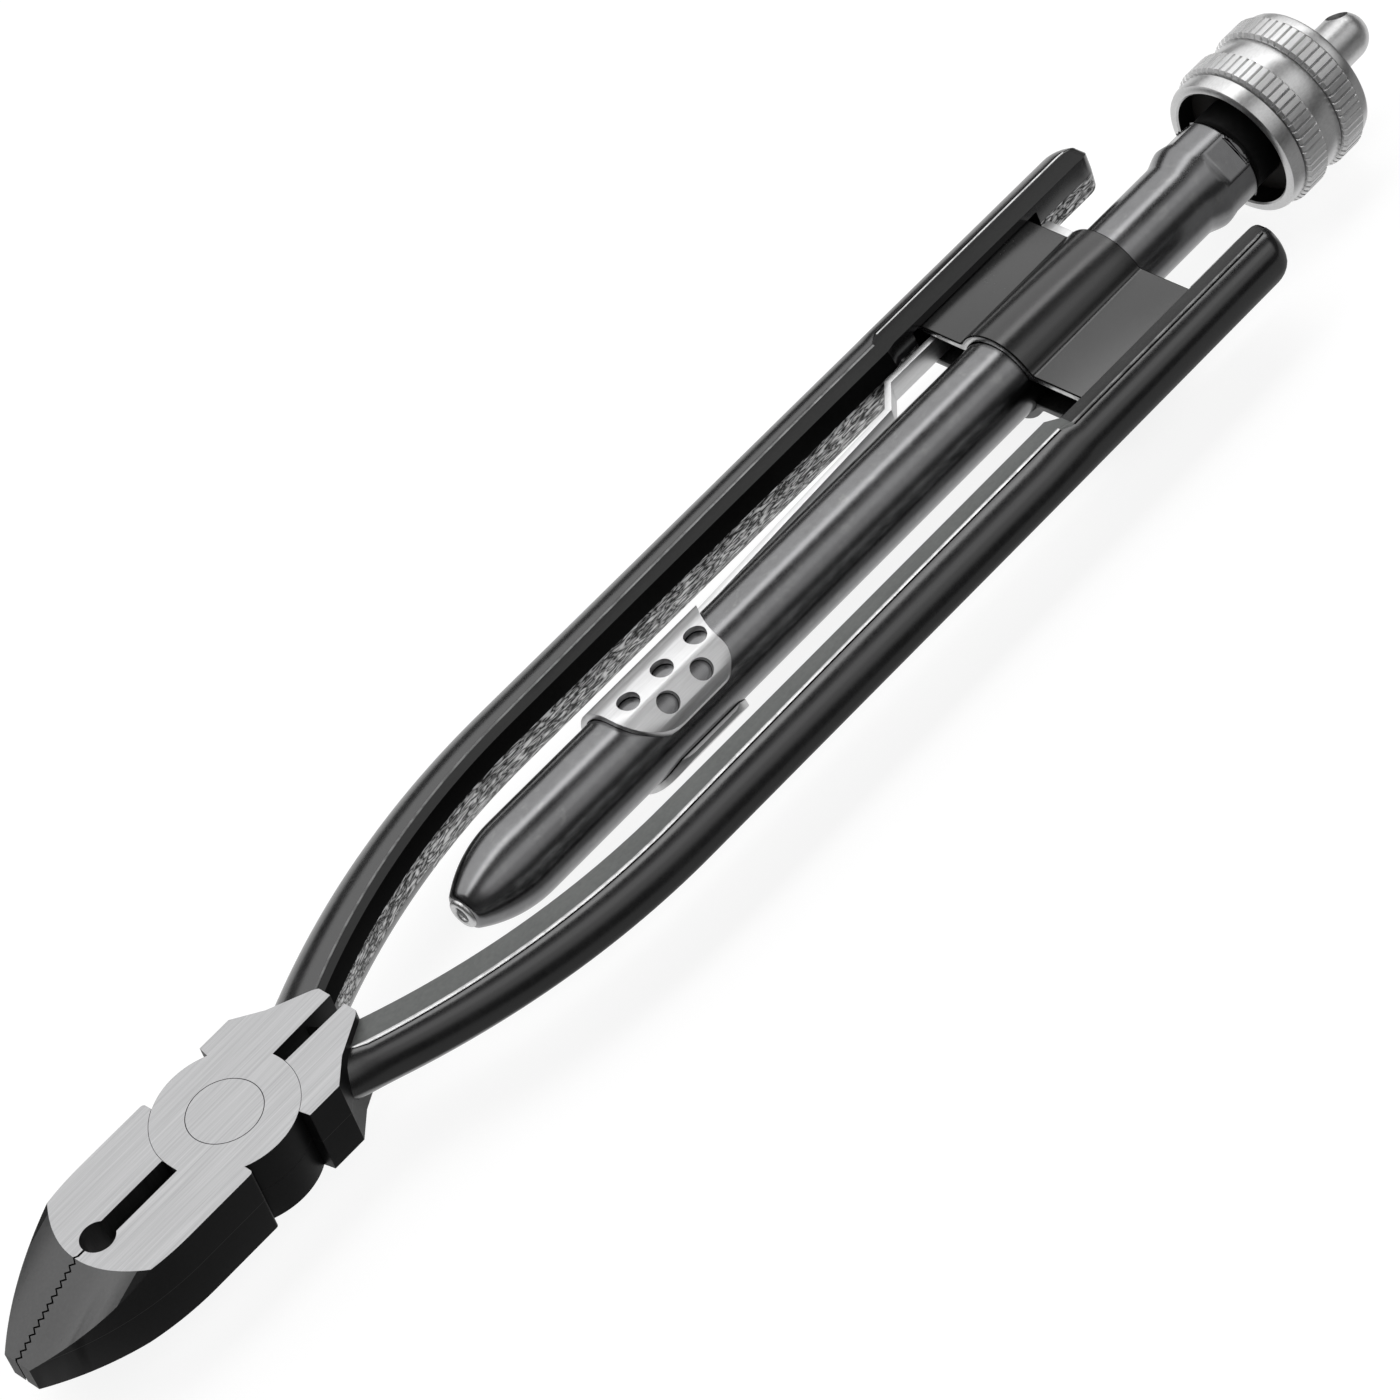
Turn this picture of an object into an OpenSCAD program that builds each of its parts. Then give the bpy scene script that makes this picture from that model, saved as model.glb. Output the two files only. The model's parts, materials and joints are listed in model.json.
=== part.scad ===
// Lock-wire twisting pliers: lap-jointed cutting head, two forged levers and a
// spiral-drive barrel that hangs between the handles on a stamped saddle.
// X runs from the jaws to the pull knob, +Y to the left handle, +Z out of the ground face.

/* [Head] */
// Thickness of the jaws and of the lap joint
head_t = 9.4; // [8.6:0.1:12]
// Width across the closed jaws
head_w = 17.8; // [17.4:0.1:22]
// Diameter of the two half-thickness joint discs
disc_d = 17.2; // [14:0.1:17.4]
// Diameter of the flush joint rivet
rivet_d = 9.0; // [5:0.1:11]
// Distance from the pivot to the jaw tip
jaw_reach = 34.5; // [30:0.5:38]
// Distance from the pivot to the front of the ground faces
face_reach = 23.1; // [22.5:0.1:26]
// Distance from the pivot to where the jaw sides begin to curve in
jaw_straight = 14; // [11:0.5:18]
// Radius of the curved jaw sides in plan
jaw_side_r = 34; // [30:0.5:60]
// Downward slope of the nose in front of the ground faces
nose_slope = 24.5; // [12:0.5:26]
// Crown radius of the sloped nose, seen from the tip
nose_crown_r = 25; // [20:1:60]
// Rise of the underside at the jaw tip
tip_rise = 0.8; // [0.2:0.1:1.6]
// Half length of the side notch between jaw and shoulder
notch_half = 4.2; // [3:0.1:5.5]

/* [Jaw details] */
// Gap between the closed jaws
jaw_gap = 0.2; // [0.1:0.05:0.4]
// Pitch of the gripping teeth
tooth_pitch = 0.86; // [0.6:0.02:1.6]
// Depth of the gripping teeth
tooth_depth = 0.5; // [0.3:0.05:0.8]
// Diameter of the wire hole behind the teeth
wire_hole_d = 4.2; // [3:0.1:5]
// Distance from the pivot to the wire hole
wire_hole_x = 19.7; // [18.5:0.1:20.2]
// Width of the relief slot over the cutting edges
cutter_slot_w = 2.5; // [1.5:0.1:3.6]
// Height of the bevelled cutting edges
cutter_bevel_h = 2.6; // [1.5:0.1:4]

/* [Levers] */
// Length of the straight side of each shoulder, from the pivot
shoulder_straight = 9.3; // [8:0.1:11]
// Distance from the pivot to the end of the shoulders
shoulder_reach = 17.9; // [16:0.1:21]
// Width over both shoulders at their end
shoulder_end_w = 6.4; // [5:0.1:9]
// Gap between the levers behind the joint
leg_gap = 1.9; // [1.2:0.1:2.4]
// Thickness of the handles
handle_t = 7.0; // [5.6:0.1:8]
// Width of the crowned outer side of a handle
crown_w = 4.45; // [4.2:0.05:5]
// Width of the flats on a handle
flat_w = 2.3; // [1.5:0.1:2.4]
// Height of the rough trimmed land on the inner side
land_h = 2.7; // [1.5:0.1:4]
// Set-back of the drafted faces above and below the land
draft_w = 0.95; // [0.3:0.05:1]
// Distance of the outer edge of the handle flats from the barrel axis
spine_y = 14.5; // [14.4:0.05:16]
// Radius of the bowed front part of a handle
bow_r = 97; // [90:1:110]
// Distance from the pivot to the end of the bow
bow_end_x = 58; // [54:0.5:60]
// Sweep of the bow
bow_angle = 28; // [26:0.5:30]
// Distance from the pivot to the handle ends
handle_reach = 162.2; // [158:0.1:164]
// Thickness of the slotted rear part of the handles
grip_t = 8.0; // [7.6:0.1:9]
// Set-back of the inner land on the rear part
grip_inset = 0.4; // [0.2:0.05:0.6]
// Width of the broad flat on the rear part
grip_flat_w = 2.9; // [2:0.1:3]
// Width of the narrow flat on the other side of the rear part
grip_narrow_w = 1.0; // [0.5:0.1:2]
// Distance from the pivot to the slotted rear part
grip_x = 124.5; // [118:0.5:125]
// Length of the ramp up to the rear part
grip_ramp = 1.2; // [0.5:0.1:2]
// Corner radius of the handle ends in plan
handle_end_r = 3; // [1:0.1:3.6]
// Inner corner radius of the handle ends in plan
handle_in_r = 1.2; // [0.5:0.1:1.6]

/* [Barrel] */
// Outer diameter of the barrel
tube_d = 10.5; // [10:0.1:11.2]
// Wall of the barrel
tube_wall = 0.9; // [0.6:0.05:1]
// Distance from the pivot to the barrel nose
nose_x = 36.5; // [34:0.5:44]
// Length of the bullet nose
nose_len = 9.5; // [7:0.5:14]
// Diameter of the flat nose tip
nose_tip_d = 4.6; // [4:0.1:6]
// Diameter of the hole in the nose
nose_hole_d = 2.6; // [1.8:0.1:3]
// Distance from the pivot to the flared rear end
flare_x = 164.5; // [163:0.5:167]
// Length of the flare
flare_len = 3; // [2:0.1:4]
// Diameter of the flared end
flare_d = 12.1; // [11.7:0.1:13]
// Distance across the staked flats on the flared end
stake_af = 10.8; // [10.4:0.1:11.2]
// Length of the staked flats
stake_len = 5; // [4:0.1:6]
// Length of the flared end behind the flats
mouth_len = 3; // [2:0.1:4]

/* [Spiral drive] */
// Side of the square twisted spindle
spindle_side = 3.3; // [2.6:0.1:3.6]
// Lead of the spindle twist
spindle_lead = 40; // [30:1:60]
// Distance from the pivot to the front of the spindle stop
stop_x = 49; // [47:0.5:60]
// Length of the drive nut
nut_len = 4.8; // [3:0.1:4.8]
// Wire diameter of the return spring
spring_wire = 0.8; // [0.5:0.05:0.9]
// Turns of the return spring
spring_turns = 22; // [14:1:30]

/* [Knob] */
// Diameter over the knurled bands
knob_d = 20.2; // [18.6:0.1:24]
// Overlap of the knob cup over the barrel mouth
cup_overlap = 2.5; // [1:0.1:4]
// Inner diameter of the knob cup
cup_d = 16.3; // [15:0.1:16.6]
// Width of the plain front rim
front_rim_w = 2.4; // [1.5:0.1:4]
// Width of each knurled band
knurl_w = 3.6; // [2.5:0.1:5]
// Width of the plain groove between the bands
groove_w = 3.3; // [2:0.1:5]
// Width of the rear rim
rear_rim_w = 1.6; // [1:0.1:3]
// Ridges in each knurled band
knurl_count = 60; // [40:1:72]
// Depth of the knurl
knurl_depth = 0.35; // [0.2:0.05:0.6]
// Diameter of the hanger stub
stub_d = 6.2; // [5:0.1:6.6]
// Length of the hanger stub with its domed end
stub_len = 10.4; // [8:0.1:14]
// Diameter of the lanyard hole through the stub
lanyard_d = 2.8; // [1.5:0.1:3]
// Distance from the lanyard hole to the end of the stub
lanyard_x = 2.4; // [2.2:0.1:5]
// Tilt of the lanyard hole about the knob axis
lanyard_tilt = -24; // [-90:1:90]

/* [Saddle] */
// Distance from the pivot to the front of the saddle
saddle_x = 130; // [128:0.5:131]
// Length of the saddle
saddle_len = 20; // [16:0.5:20.5]
// Thickness of the saddle plates
plate_t = 0.95; // [0.6:0.05:1]
// Height of the wings above the barrel axis
wing_top = 2.9; // [2.8:0.05:3]
// Half width over the wings
wing_reach = 16.2; // [15:0.1:16.3]

/* [Latch] */
// Thickness of the latch strip
strip_t = 0.8; // [0.5:0.05:0.9]
// Height of the latch strip
strip_h = 3.1; // [2:0.1:3.2]
// Distance from the pivot to the front of the thumb pad
pad_x = 63; // [58:0.1:66]
// Length of the thumb pad
pad_len = 16; // [15:0.1:20]
// Extra length of the thumb pad where it runs into the strip
pad_flare = 4.8; // [3:0.1:6]
// Radius of the front corner of the thumb pad
pad_front_r = 4.6; // [2:0.1:5]
// Radius of the rear corner of the thumb pad
pad_rear_r = 3; // [1.5:0.1:4]
// Angle that the pad wraps past the top of the barrel
pad_wrap = 66; // [60:1:80]
// Diameter of the grip holes in the pad
grip_hole_d = 2.8; // [1.5:0.1:3]
// Pitch of the grip holes along the pad
grip_hole_pitch = 5.7; // [4:0.05:5.8]
// Distance from the pivot to the outward bend of the strip
bend_x = 118.5; // [110:0.5:120]
// Length of the outward bend along the axis
bend_len = 3.4; // [2:0.1:5]
// Reach of the bent hook behind the saddle
hook_reach = 3.6; // [2:0.1:4]
// Length of the flat lug that stands back from the hook
lug_len = 1.3; // [0.8:0.1:2]
// Thickness of the flat lug
lug_t = 0.5; // [0.4:0.05:0.8]

/* [Clearances] */
// Running clearance of the lap joint and its rivet
joint_clear = 0.06; // [0.03:0.01:0.1]
// Sliding clearance of the latch pads and the spring seat
slide_clear = 0.12; // [0.05:0.01:0.2]
// Sliding clearance of the saddle wings in the handle slots
wing_clear = 0.15; // [0.1:0.01:0.2]
// Clearance of the twisted spindle in the drive nut
nut_clear = 0.25; // [0.2:0.01:0.4]
// Clearance between pieces that pass each other freely
free_clear = 0.3; // [0.25:0.01:0.4]
// Clearance of pieces that are seated on each other
seat_clear = 0.02; // [0.01:0.01:0.05]
// Room for the saddle in the handle slots, lengthways
slot_end_room = 1.4; // [1:0.1:2]

/* [Hidden] */
mid_z = head_t / 2;
disc_r = disc_d / 2;
rivet_r = rivet_d / 2;
jaw_y = head_w / 2;
round_fn = 96;
tube_r = tube_d / 2;
bore_r = tube_r - tube_wall;
flare_r = flare_d / 2;
flare_bore_r = flare_r - tube_wall;
nose_tip_r = nose_tip_d / 2;
nose_drop = tube_r - nose_tip_r;
nose_arc_r = (nose_len * nose_len + nose_drop * nose_drop) / (2 * nose_drop);
nose_end = nose_x + nose_len;
stake_x = flare_x + flare_len;
stake_end = stake_x + stake_len;
tube_end = stake_end + mouth_len;
socket_af = stake_af - 2 * tube_wall;
socket_r = flare_bore_r - 0.1;
socket_over = 0.3;
nut_x = stake_x + slide_clear;
washer_t = 0.8;
washer_x = nut_x - washer_t - seat_clear;
ring_t = 0.9;
ring_x = stake_end + seat_clear;
corner_r = spindle_side / sqrt(2);
spring_r = corner_r + free_clear + spring_wire;
journal_r = 1.5;
stop_head_r = 2.6;
stop_head_t = 1.6;
seat_t = 2;
seat_x = stop_x + stop_head_t + seat_clear;
bar_x = seat_x + seat_t + seat_clear;
knob_x = tube_end - cup_overlap;
bumper_t = 2;
bumper_x = tube_end + free_clear;
cup_floor = bumper_x + bumper_t + seat_clear;
knob_r = knob_d / 2;
rim_r = knob_r - 0.6;
groove_r = knob_r - 0.5;
knurl_1_x = knob_x + front_rim_w;
groove_x = knurl_1_x + knurl_w;
knurl_2_x = groove_x + groove_w;
rear_rim_x = knurl_2_x + knurl_w;
knob_end = rear_rim_x + rear_rim_w;
bush_wall = 2.2;
shank_r = stub_d / 2 + 0.4;
bush_bore_r = shank_r + seat_clear;
bush_r = bush_bore_r + bush_wall;
bar_socket_r = corner_r + seat_clear;
bar_grip = 5;
bar_end = cup_floor + bar_grip;
stub_end = knob_end + stub_len;
saddle_end = saddle_x + saddle_len;
wing_under = wing_top - plate_t;
slot_half_h = wing_top + wing_clear;
slot_floor_y = wing_reach + free_clear;
handle_outer_y = spine_y + crown_w;
land_y = spine_y - flat_w - draft_w;
grip_spine_y = handle_outer_y - grip_t / 2;
grip_land_y = land_y + grip_inset;
pad_in_r = tube_r + slide_clear;
pad_out_r = pad_in_r + strip_t;
pad_mid_r = (pad_in_r + pad_out_r) / 2;
pad_view = 20;
strip_far_y = land_y - free_clear - strip_t / 2;
strip_near_y = pad_mid_r + 1.7;
hook_x = saddle_end + free_clear + strip_t / 2;
grip_hole_lead = 3.2;
grip_hole_angle = 2;
grip_hole_step = 33;

// Points of an arc about c, from angle a0 to angle a1
function arc_points(c, r, a0, a1, n = 8) =
    [for (i = [0:n]) c + r * [cos(a0 + (a1 - a0) * i / n), sin(a0 + (a1 - a0) * i / n)]];

// Unit direction from one point to the next
function heading(a, b) = (b - a) / norm(b - a);

// Mitred offset of point i of a path, to the left by d
function mitre(path, i, d) =
    let (last = len(path) - 1,
         u = heading(path[max(i - 1, 0)], path[max(i, 1)]),
         v = heading(path[min(i, last - 1)], path[min(i + 1, last)]),
         n = [-u[1] - v[1], u[0] + v[0]])
    path[i] + d * n * 2 / (n * n);

// Outline of a bent strip of thickness t along a path
function ribbon(path, t) =
    let (last = len(path) - 1)
    concat([for (i = [0:last]) mitre(path, i, t / 2)],
           [for (i = [last:-1:0]) mitre(path, i, -t / 2)]);

// Puts the mid plane of the tool at its height over the underside of the head
module at_mid() {
    translate([0, 0, mid_z]) children();
}

// Revolves a [radius, distance along X] profile about the barrel axis
module turned() {
    rotate([0, 90, 0]) rotate_extrude($fn = round_fn) children();
}

// A rectangle of a turned profile, from radius r0 to r1 and from x0 to x1
module band(r0, r1, x0, x1) {
    translate([r0, x0]) square([r1 - r0, x1 - x0]);
}

// Extrudes a [Y, Z] outline along X, from x0 to x1
module along_x(x0, x1) {
    translate([x0, 0, 0]) rotate([90, 0, 90]) linear_extrude(x1 - x0) children();
}

// Extrudes an [X, Z] outline over the whole width
module across_y(w) {
    rotate([90, 0, 0]) linear_extrude(w, center = true) children();
}

// Extrudes a plan outline over a thickness about the mid plane
module slab(t) {
    linear_extrude(t, center = true) children();
}

// Mating line of a jaw: gripping teeth in front, plain lands behind
module mating_side(phase) {
    teeth = floor((jaw_reach - face_reach) / tooth_pitch);
    half = tooth_pitch / 2;
    first = -face_reach - teeth * tooth_pitch;
    zigzag = [for (i = [-2:2 * teeth])
        [first + i * half, -jaw_gap / 2 + ((i + phase) % 2 == 0 ? 1 : -1) * tooth_depth / 2]];
    polygon(concat(zigzag,
        [[-face_reach + half, -jaw_gap / 2], [0, -jaw_gap / 2], [0, head_w], [first - tooth_pitch, head_w]]));
}

// Plan of the jaw on the -Y side
module jaw_plan(phase) {
    difference() {
        union() {
            translate([-jaw_straight, -jaw_y]) square([jaw_straight - notch_half, jaw_y + tooth_depth]);
            intersection() {
                translate([-jaw_reach, -jaw_y]) square([jaw_reach - jaw_straight, jaw_y + tooth_depth]);
                translate([-jaw_straight, jaw_side_r - jaw_y]) circle(jaw_side_r, $fn = 128);
            }
        }
        mating_side(phase);
    }
}

// Sloped and crowned upper side of the nose
module nose_crown() {
    reach = 4 * jaw_reach;
    translate([-face_reach, 0, mid_z]) rotate([0, -nose_slope, 0]) translate([-reach / 2, 0, -nose_crown_r])
        rotate([0, 90, 0]) cylinder(r = nose_crown_r, h = reach, $fn = 128);
}

// Side view of the jaw, with the underside rising to the tip
module jaw_side() {
    polygon([[0, mid_z], [-jaw_reach, mid_z], [-jaw_reach, tip_rise - mid_z],
             [-face_reach, -mid_z], [0, -mid_z]]);
}

// Relief over and under the bevelled cutting edge of one jaw
module cutter_relief() {
    half_w = cutter_slot_w / 2;
    edge_y = jaw_gap / 2;
    land = 0.1;
    top = head_t;
    along_x(-wire_hole_x, -disc_r)
        polygon([[half_w, top], [-half_w, top], [-half_w, cutter_bevel_h / 2], [-edge_y, land],
                 [-edge_y, -land], [-half_w, -cutter_bevel_h / 2], [-half_w, -top], [half_w, -top]]);
}

// Jaw of one lever
module jaw(phase) {
    difference() {
        intersection() {
            slab(head_t) jaw_plan(phase);
            across_y(2 * head_w) jaw_side();
            nose_crown();
        }
        translate([-wire_hole_x, 0, -head_t]) cylinder(d = wire_hole_d, h = 2 * head_t, $fn = round_fn);
        cutter_relief();
    }
}

// Full-thickness shoulder behind the joint disc
module shoulder() {
    corner = 0.5;
    slab(head_t)
        polygon([[notch_half + corner, jaw_y], [shoulder_straight, jaw_y],
                 [(shoulder_straight + shoulder_reach) / 2 - 1.1, (jaw_y + shoulder_end_w / 2) / 2 + 0.1],
                 [shoulder_reach - corner, shoulder_end_w / 2 + corner / 2],
                 [shoulder_reach, shoulder_end_w / 2 - corner / 2],
                 [shoulder_reach, leg_gap / 2 + 0.2], [disc_r - 2, leg_gap / 2],
                 [notch_half, disc_r * 0.7]]);
}

// Section of a handle, from the outer edge of its flats: crowned outer side, one flat above and
// one below, and a trimmed land between two drafted inner faces
module handle_section(t, crown, land, upper, lower) {
    h = t / 2;
    crown_r = (crown * crown + h * h) / t;
    intersection() {
        translate([0, h - crown_r]) circle(crown_r, $fn = 128);
        if (crown > h) translate([0, crown_r - h]) circle(crown_r, $fn = 128);
        translate([0, -h]) square([2 * crown, t]);
    }
    polygon([[0, -h], [0, h], [-upper, h], [-land, land_h / 2], [-land, -land_h / 2], [-lower, -h]]);
}

// Section of the bowed and straight parts of a handle
module plain_section() {
    handle_section(handle_t, crown_w, spine_y - land_y, flat_w, flat_w);
}

// Thicker rear part of a handle, with a ramp in front and a rounded end
module grip() {
    inner_y = land_y - 1;
    intersection() {
        translate([0, grip_spine_y, 0]) along_x(grip_x, handle_reach)
            handle_section(grip_t, handle_outer_y - grip_spine_y, grip_spine_y - grip_land_y,
                           grip_flat_w, grip_narrow_w);
        across_y(4 * spine_y)
            polygon([[grip_x, -handle_t / 2], [grip_x + grip_ramp, -grip_t / 2], [handle_reach, -grip_t / 2],
                     [handle_reach, grip_t / 2], [grip_x + grip_ramp, grip_t / 2], [grip_x, handle_t / 2]]);
        slab(2 * grip_t) {
            translate([grip_x, inner_y])
                square([handle_reach - handle_end_r - grip_x, handle_outer_y + 1 - inner_y]);
            translate([grip_x, inner_y])
                square([handle_reach - handle_in_r - grip_x, handle_outer_y - handle_end_r - inner_y]);
            translate([grip_x, grip_land_y + 0.9 * handle_in_r])
                square([handle_reach - grip_x, handle_outer_y - handle_end_r - grip_land_y - 0.9 * handle_in_r]);
            translate([handle_reach - handle_in_r, grip_land_y + 0.9 * handle_in_r])
                circle(handle_in_r, $fn = round_fn);
            translate([handle_reach - handle_end_r, handle_outer_y - handle_end_r])
                circle(handle_end_r, $fn = round_fn);
        }
    }
}

// Handle with its bow, straight part, slotted rear part and the slot for the saddle wings
module handle() {
    difference() {
        union() {
            translate([bow_end_x, spine_y - bow_r, 0]) rotate([0, 0, 90])
                rotate_extrude(angle = bow_angle, $fn = 180)
                    translate([bow_r, 0]) plain_section();
            translate([0, spine_y, 0]) along_x(bow_end_x, grip_x + grip_ramp) plain_section();
            grip();
        }
        translate([0, -spine_y + leg_gap / 2, -grip_t]) cube([2 * shoulder_reach, spine_y, 2 * grip_t]);
        translate([saddle_x - slot_end_room, 0, -slot_half_h])
            cube([saddle_len + 2 * slot_end_room, slot_floor_y, 2 * slot_half_h]);
    }
}

// One forged lever: handle on the +Y side, jaw on the -Y side, joint disc in the upper half
module lever(phase, bore_r, turned_over) {
    difference() {
        union() {
            difference() {
                union() {
                    mirror([0, 0, turned_over]) jaw(phase);
                    shoulder();
                    handle();
                }
                translate([0, 0, -head_t]) cylinder(r = disc_r + joint_clear, h = head_t + joint_clear / 2, $fn = round_fn);
            }
            translate([0, 0, joint_clear / 2]) cylinder(r = disc_r, h = mid_z - joint_clear / 2, $fn = round_fn);
        }
        translate([0, 0, -head_t]) cylinder(r = bore_r, h = 2 * head_t, $fn = round_fn);
    }
}

// Lever with the left handle and the right jaw
module lever_left() {
    color("#26272a") at_mid() lever(0, rivet_r + seat_clear, 0);
}

// Lever with the right handle and the left jaw: turned over, with its nose sloping the same way
module lever_right() {
    color("#2b2c30") at_mid() rotate([180, 0, 0]) lever(1, rivet_r + joint_clear, 1);
}

// Flush rivet that the levers turn on
module pivot_rivet() {
    color("#c9cbcd") cylinder(r = rivet_r, h = head_t, $fn = round_fn);
}

// Seat of the drive nut: a flared bore with staked flats, at a clearance from its walls
module nut_seat(x0, x1, clear) {
    rotate([0, 90, 0]) intersection() {
        translate([0, 0, x0]) cylinder(r = socket_r - clear, h = x1 - x0, $fn = round_fn);
        rotate([0, 0, 45]) translate([0, 0, (x0 + x1) / 2])
            cube([socket_af - 2 * clear, socket_af - 2 * clear, 2 * (x1 - x0)], center = true);
    }
}

// Outer form of the barrel: bullet nose, straight tube, flared mouth
module barrel_outline() {
    intersection() {
        band(0, tube_r, nose_x, nose_end);
        translate([tube_r - nose_arc_r, nose_end]) circle(nose_arc_r, $fn = 256);
    }
    band(0, tube_r, nose_end, flare_x);
    polygon([[0, flare_x], [tube_r, flare_x], [flare_r, stake_x], [flare_r, tube_end], [0, tube_end]]);
}

// Barrel tube
module barrel_tube() {
    flat_w = 2 * flare_d;
    color("#202124") at_mid() difference() {
        turned() difference() {
            barrel_outline();
            band(0, nose_hole_d / 2, nose_x - 1, nose_end);
            band(0, bore_r, nose_end, flare_x);
            polygon([[0, flare_x], [bore_r, flare_x], [flare_bore_r, stake_x], [0, stake_x]]);
            band(0, flare_bore_r, stake_end, tube_end + 1);
        }
        nut_seat(stake_x - socket_over, stake_end + socket_over, 0);
        for (a = [45:90:315]) rotate([a, 0, 0]) translate([stake_x, -flat_w / 2, stake_af / 2])
            cube([stake_len, flat_w, flat_w]);
    }
}

// Bright eyelet in the barrel nose
module nose_eyelet() {
    flange_t = 0.4;
    wall = 0.4;
    shank_r = nose_hole_d / 2 - seat_clear;
    color("#d4d6d8") at_mid() turned() {
        band(shank_r - wall, shank_r + 0.5, nose_x - flange_t, nose_x);
        band(shank_r - wall, shank_r, nose_x, nose_x + 3);
    }
}

// Twisted square form that the spindle and the drive nut share
module twisted_square(x0, x1, side) {
    turn = -360 / spindle_lead;
    translate([x0, 0, 0]) rotate([0, 90, 0]) rotate([0, 0, -turn * x0])
        linear_extrude(x1 - x0, twist = turn * (x1 - x0), slices = ceil((x1 - x0) * 1.2))
            square(side, center = true);
}

// Drive nut, keyed in the staked flats
module drive_nut() {
    color("#b08d4a") at_mid() difference() {
        nut_seat(nut_x, nut_x + nut_len, seat_clear);
        twisted_square(nut_x - 1, nut_x + nut_len + 1, spindle_side + 2 * nut_clear);
    }
}

// Snap ring behind the drive nut
module nut_ring() {
    color("#9a9ca0") at_mid() turned()
        band(corner_r + 2 * nut_clear, flare_bore_r - seat_clear, ring_x, ring_x + ring_t);
}

// Washer between the return spring and the drive nut
module thrust_washer() {
    color("#8f9296") at_mid() turned()
        band(corner_r + 2 * nut_clear, bore_r - seat_clear, washer_x, washer_x + washer_t);
}

// Return spring around the spindle
module return_spring() {
    sides = 6;
    steps = 12 * spring_turns;
    wire_r = spring_wire / 2;
    x0 = seat_x + seat_t + seat_clear + wire_r;
    x1 = washer_x - seat_clear - wire_r;
    points = [for (i = [0:steps], k = [0:sides - 1])
        let (a = 360 * spring_turns * i / steps,
             b = 360 * k / sides,
             r = spring_r + wire_r * cos(b))
        [x0 + (x1 - x0) * i / steps + wire_r * sin(b), r * cos(a), r * sin(a)]];
    walls = [for (i = [0:steps - 1], k = [0:sides - 1], half = [0, 1])
        let (p = i * sides + k,
             q = i * sides + (k + 1) % sides)
        half == 0 ? [p, p + sides, q] : [q, p + sides, q + sides]];
    front = [[for (k = [0:sides - 1]) k]];
    back = [[for (k = [sides - 1:-1:0]) steps * sides + k]];
    color("#a4a7ab") at_mid() polyhedron(concat(points), concat(walls, front, back), convexity = 10);
}

// Sliding seat that the return spring pushes on
module spring_seat() {
    color("#b9a06a") at_mid() turned()
        band(journal_r + joint_clear, bore_r - slide_clear, seat_x, seat_x + seat_t);
}

// Headed stud in the front end of the spindle, with the journal of the spring seat
module spindle_stop() {
    color("#9da0a4") at_mid() turned() {
        band(0, stop_head_r, stop_x, stop_x + stop_head_t);
        band(0, journal_r, stop_x + stop_head_t, bar_x);
    }
}

// Twisted square spindle
module spindle() {
    color("#8d9094") at_mid() twisted_square(bar_x, bar_end, spindle_side);
}

// Fibre ring that the barrel mouth meets when the knob is home
module knob_bumper() {
    color("#3a2f28") at_mid() turned()
        band(corner_r + 2 * nut_clear, cup_d / 2 - seat_clear, bumper_x, bumper_x + bumper_t);
}

// Knurled ring between two distances along the knob
module knurl(x0, x1) {
    ridge = [for (i = [0:2 * knurl_count - 1])
        let (r = i % 2 == 0 ? knob_r : knob_r - knurl_depth,
             a = 180 * i / knurl_count)
        r * [cos(a), sin(a)]];
    along_x(x0, x1) polygon(ridge);
}

// Knurled knob shell with its cup over the barrel mouth
module knob_shell() {
    lip = 0.5;
    color("#c4c6c8") at_mid() difference() {
        union() {
            turned() {
                polygon([[0, knob_x], [rim_r - lip, knob_x], [rim_r, knob_x + lip], [rim_r, knurl_1_x], [0, knurl_1_x]]);
                band(0, groove_r, groove_x, knurl_2_x);
                polygon([[0, rear_rim_x], [rim_r, rear_rim_x], [rim_r, knob_end - lip],
                         [rim_r - lip, knob_end], [0, knob_end]]);
            }
            knurl(knurl_1_x, groove_x);
            knurl(knurl_2_x, rear_rim_x);
        }
        turned() {
            band(0, cup_d / 2, knob_x - 1, cup_floor);
            band(0, bush_r + seat_clear, cup_floor - 1, knob_end + 1);
        }
    }
}

// Bush between the knob shell and the stud
module knob_bush() {
    color("#a98b52") at_mid() turned() band(bush_bore_r, bush_r, cup_floor, knob_end);
}

// Stud that grips the spindle, with the domed hanger stub and its lanyard hole
module hanger_stud() {
    stub_r = stub_d / 2;
    color("#cfd1d3") at_mid() difference() {
        turned() {
            difference() {
                band(0, shank_r, cup_floor, knob_end);
                band(0, bar_socket_r, cup_floor - 1, bar_end + seat_clear);
            }
            band(0, stub_r, knob_end, stub_end - stub_r);
            intersection() {
                translate([0, stub_end - stub_r]) circle(stub_r, $fn = round_fn);
                band(0, stub_r, stub_end - stub_r, stub_end);
            }
        }
        translate([stub_end - lanyard_x, 0, 0]) rotate([lanyard_tilt, 0, 0])
            cylinder(d = lanyard_d, h = 2 * stub_d, center = true, $fn = round_fn);
    }
}

// Stamped saddle plate: half-round hump over the barrel with two flat wings
module saddle_plate() {
    hump_in = tube_r + seat_clear;
    along_x(saddle_x, saddle_end) difference() {
        union() {
            circle(hump_in + plate_t, $fn = round_fn);
            translate([-wing_reach, wing_under]) square([2 * wing_reach, plate_t]);
        }
        circle(hump_in, $fn = round_fn);
        translate([-wing_reach - 1, wing_under - 2 * tube_d]) square([2 * wing_reach + 2, 2 * tube_d]);
    }
}

// Upper saddle plate
module saddle_upper() {
    color("#1c1d1f") at_mid() saddle_plate();
}

// Lower saddle plate
module saddle_lower() {
    color("#1c1d1f") at_mid() rotate([180, 0, 0]) saddle_plate();
}

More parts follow.
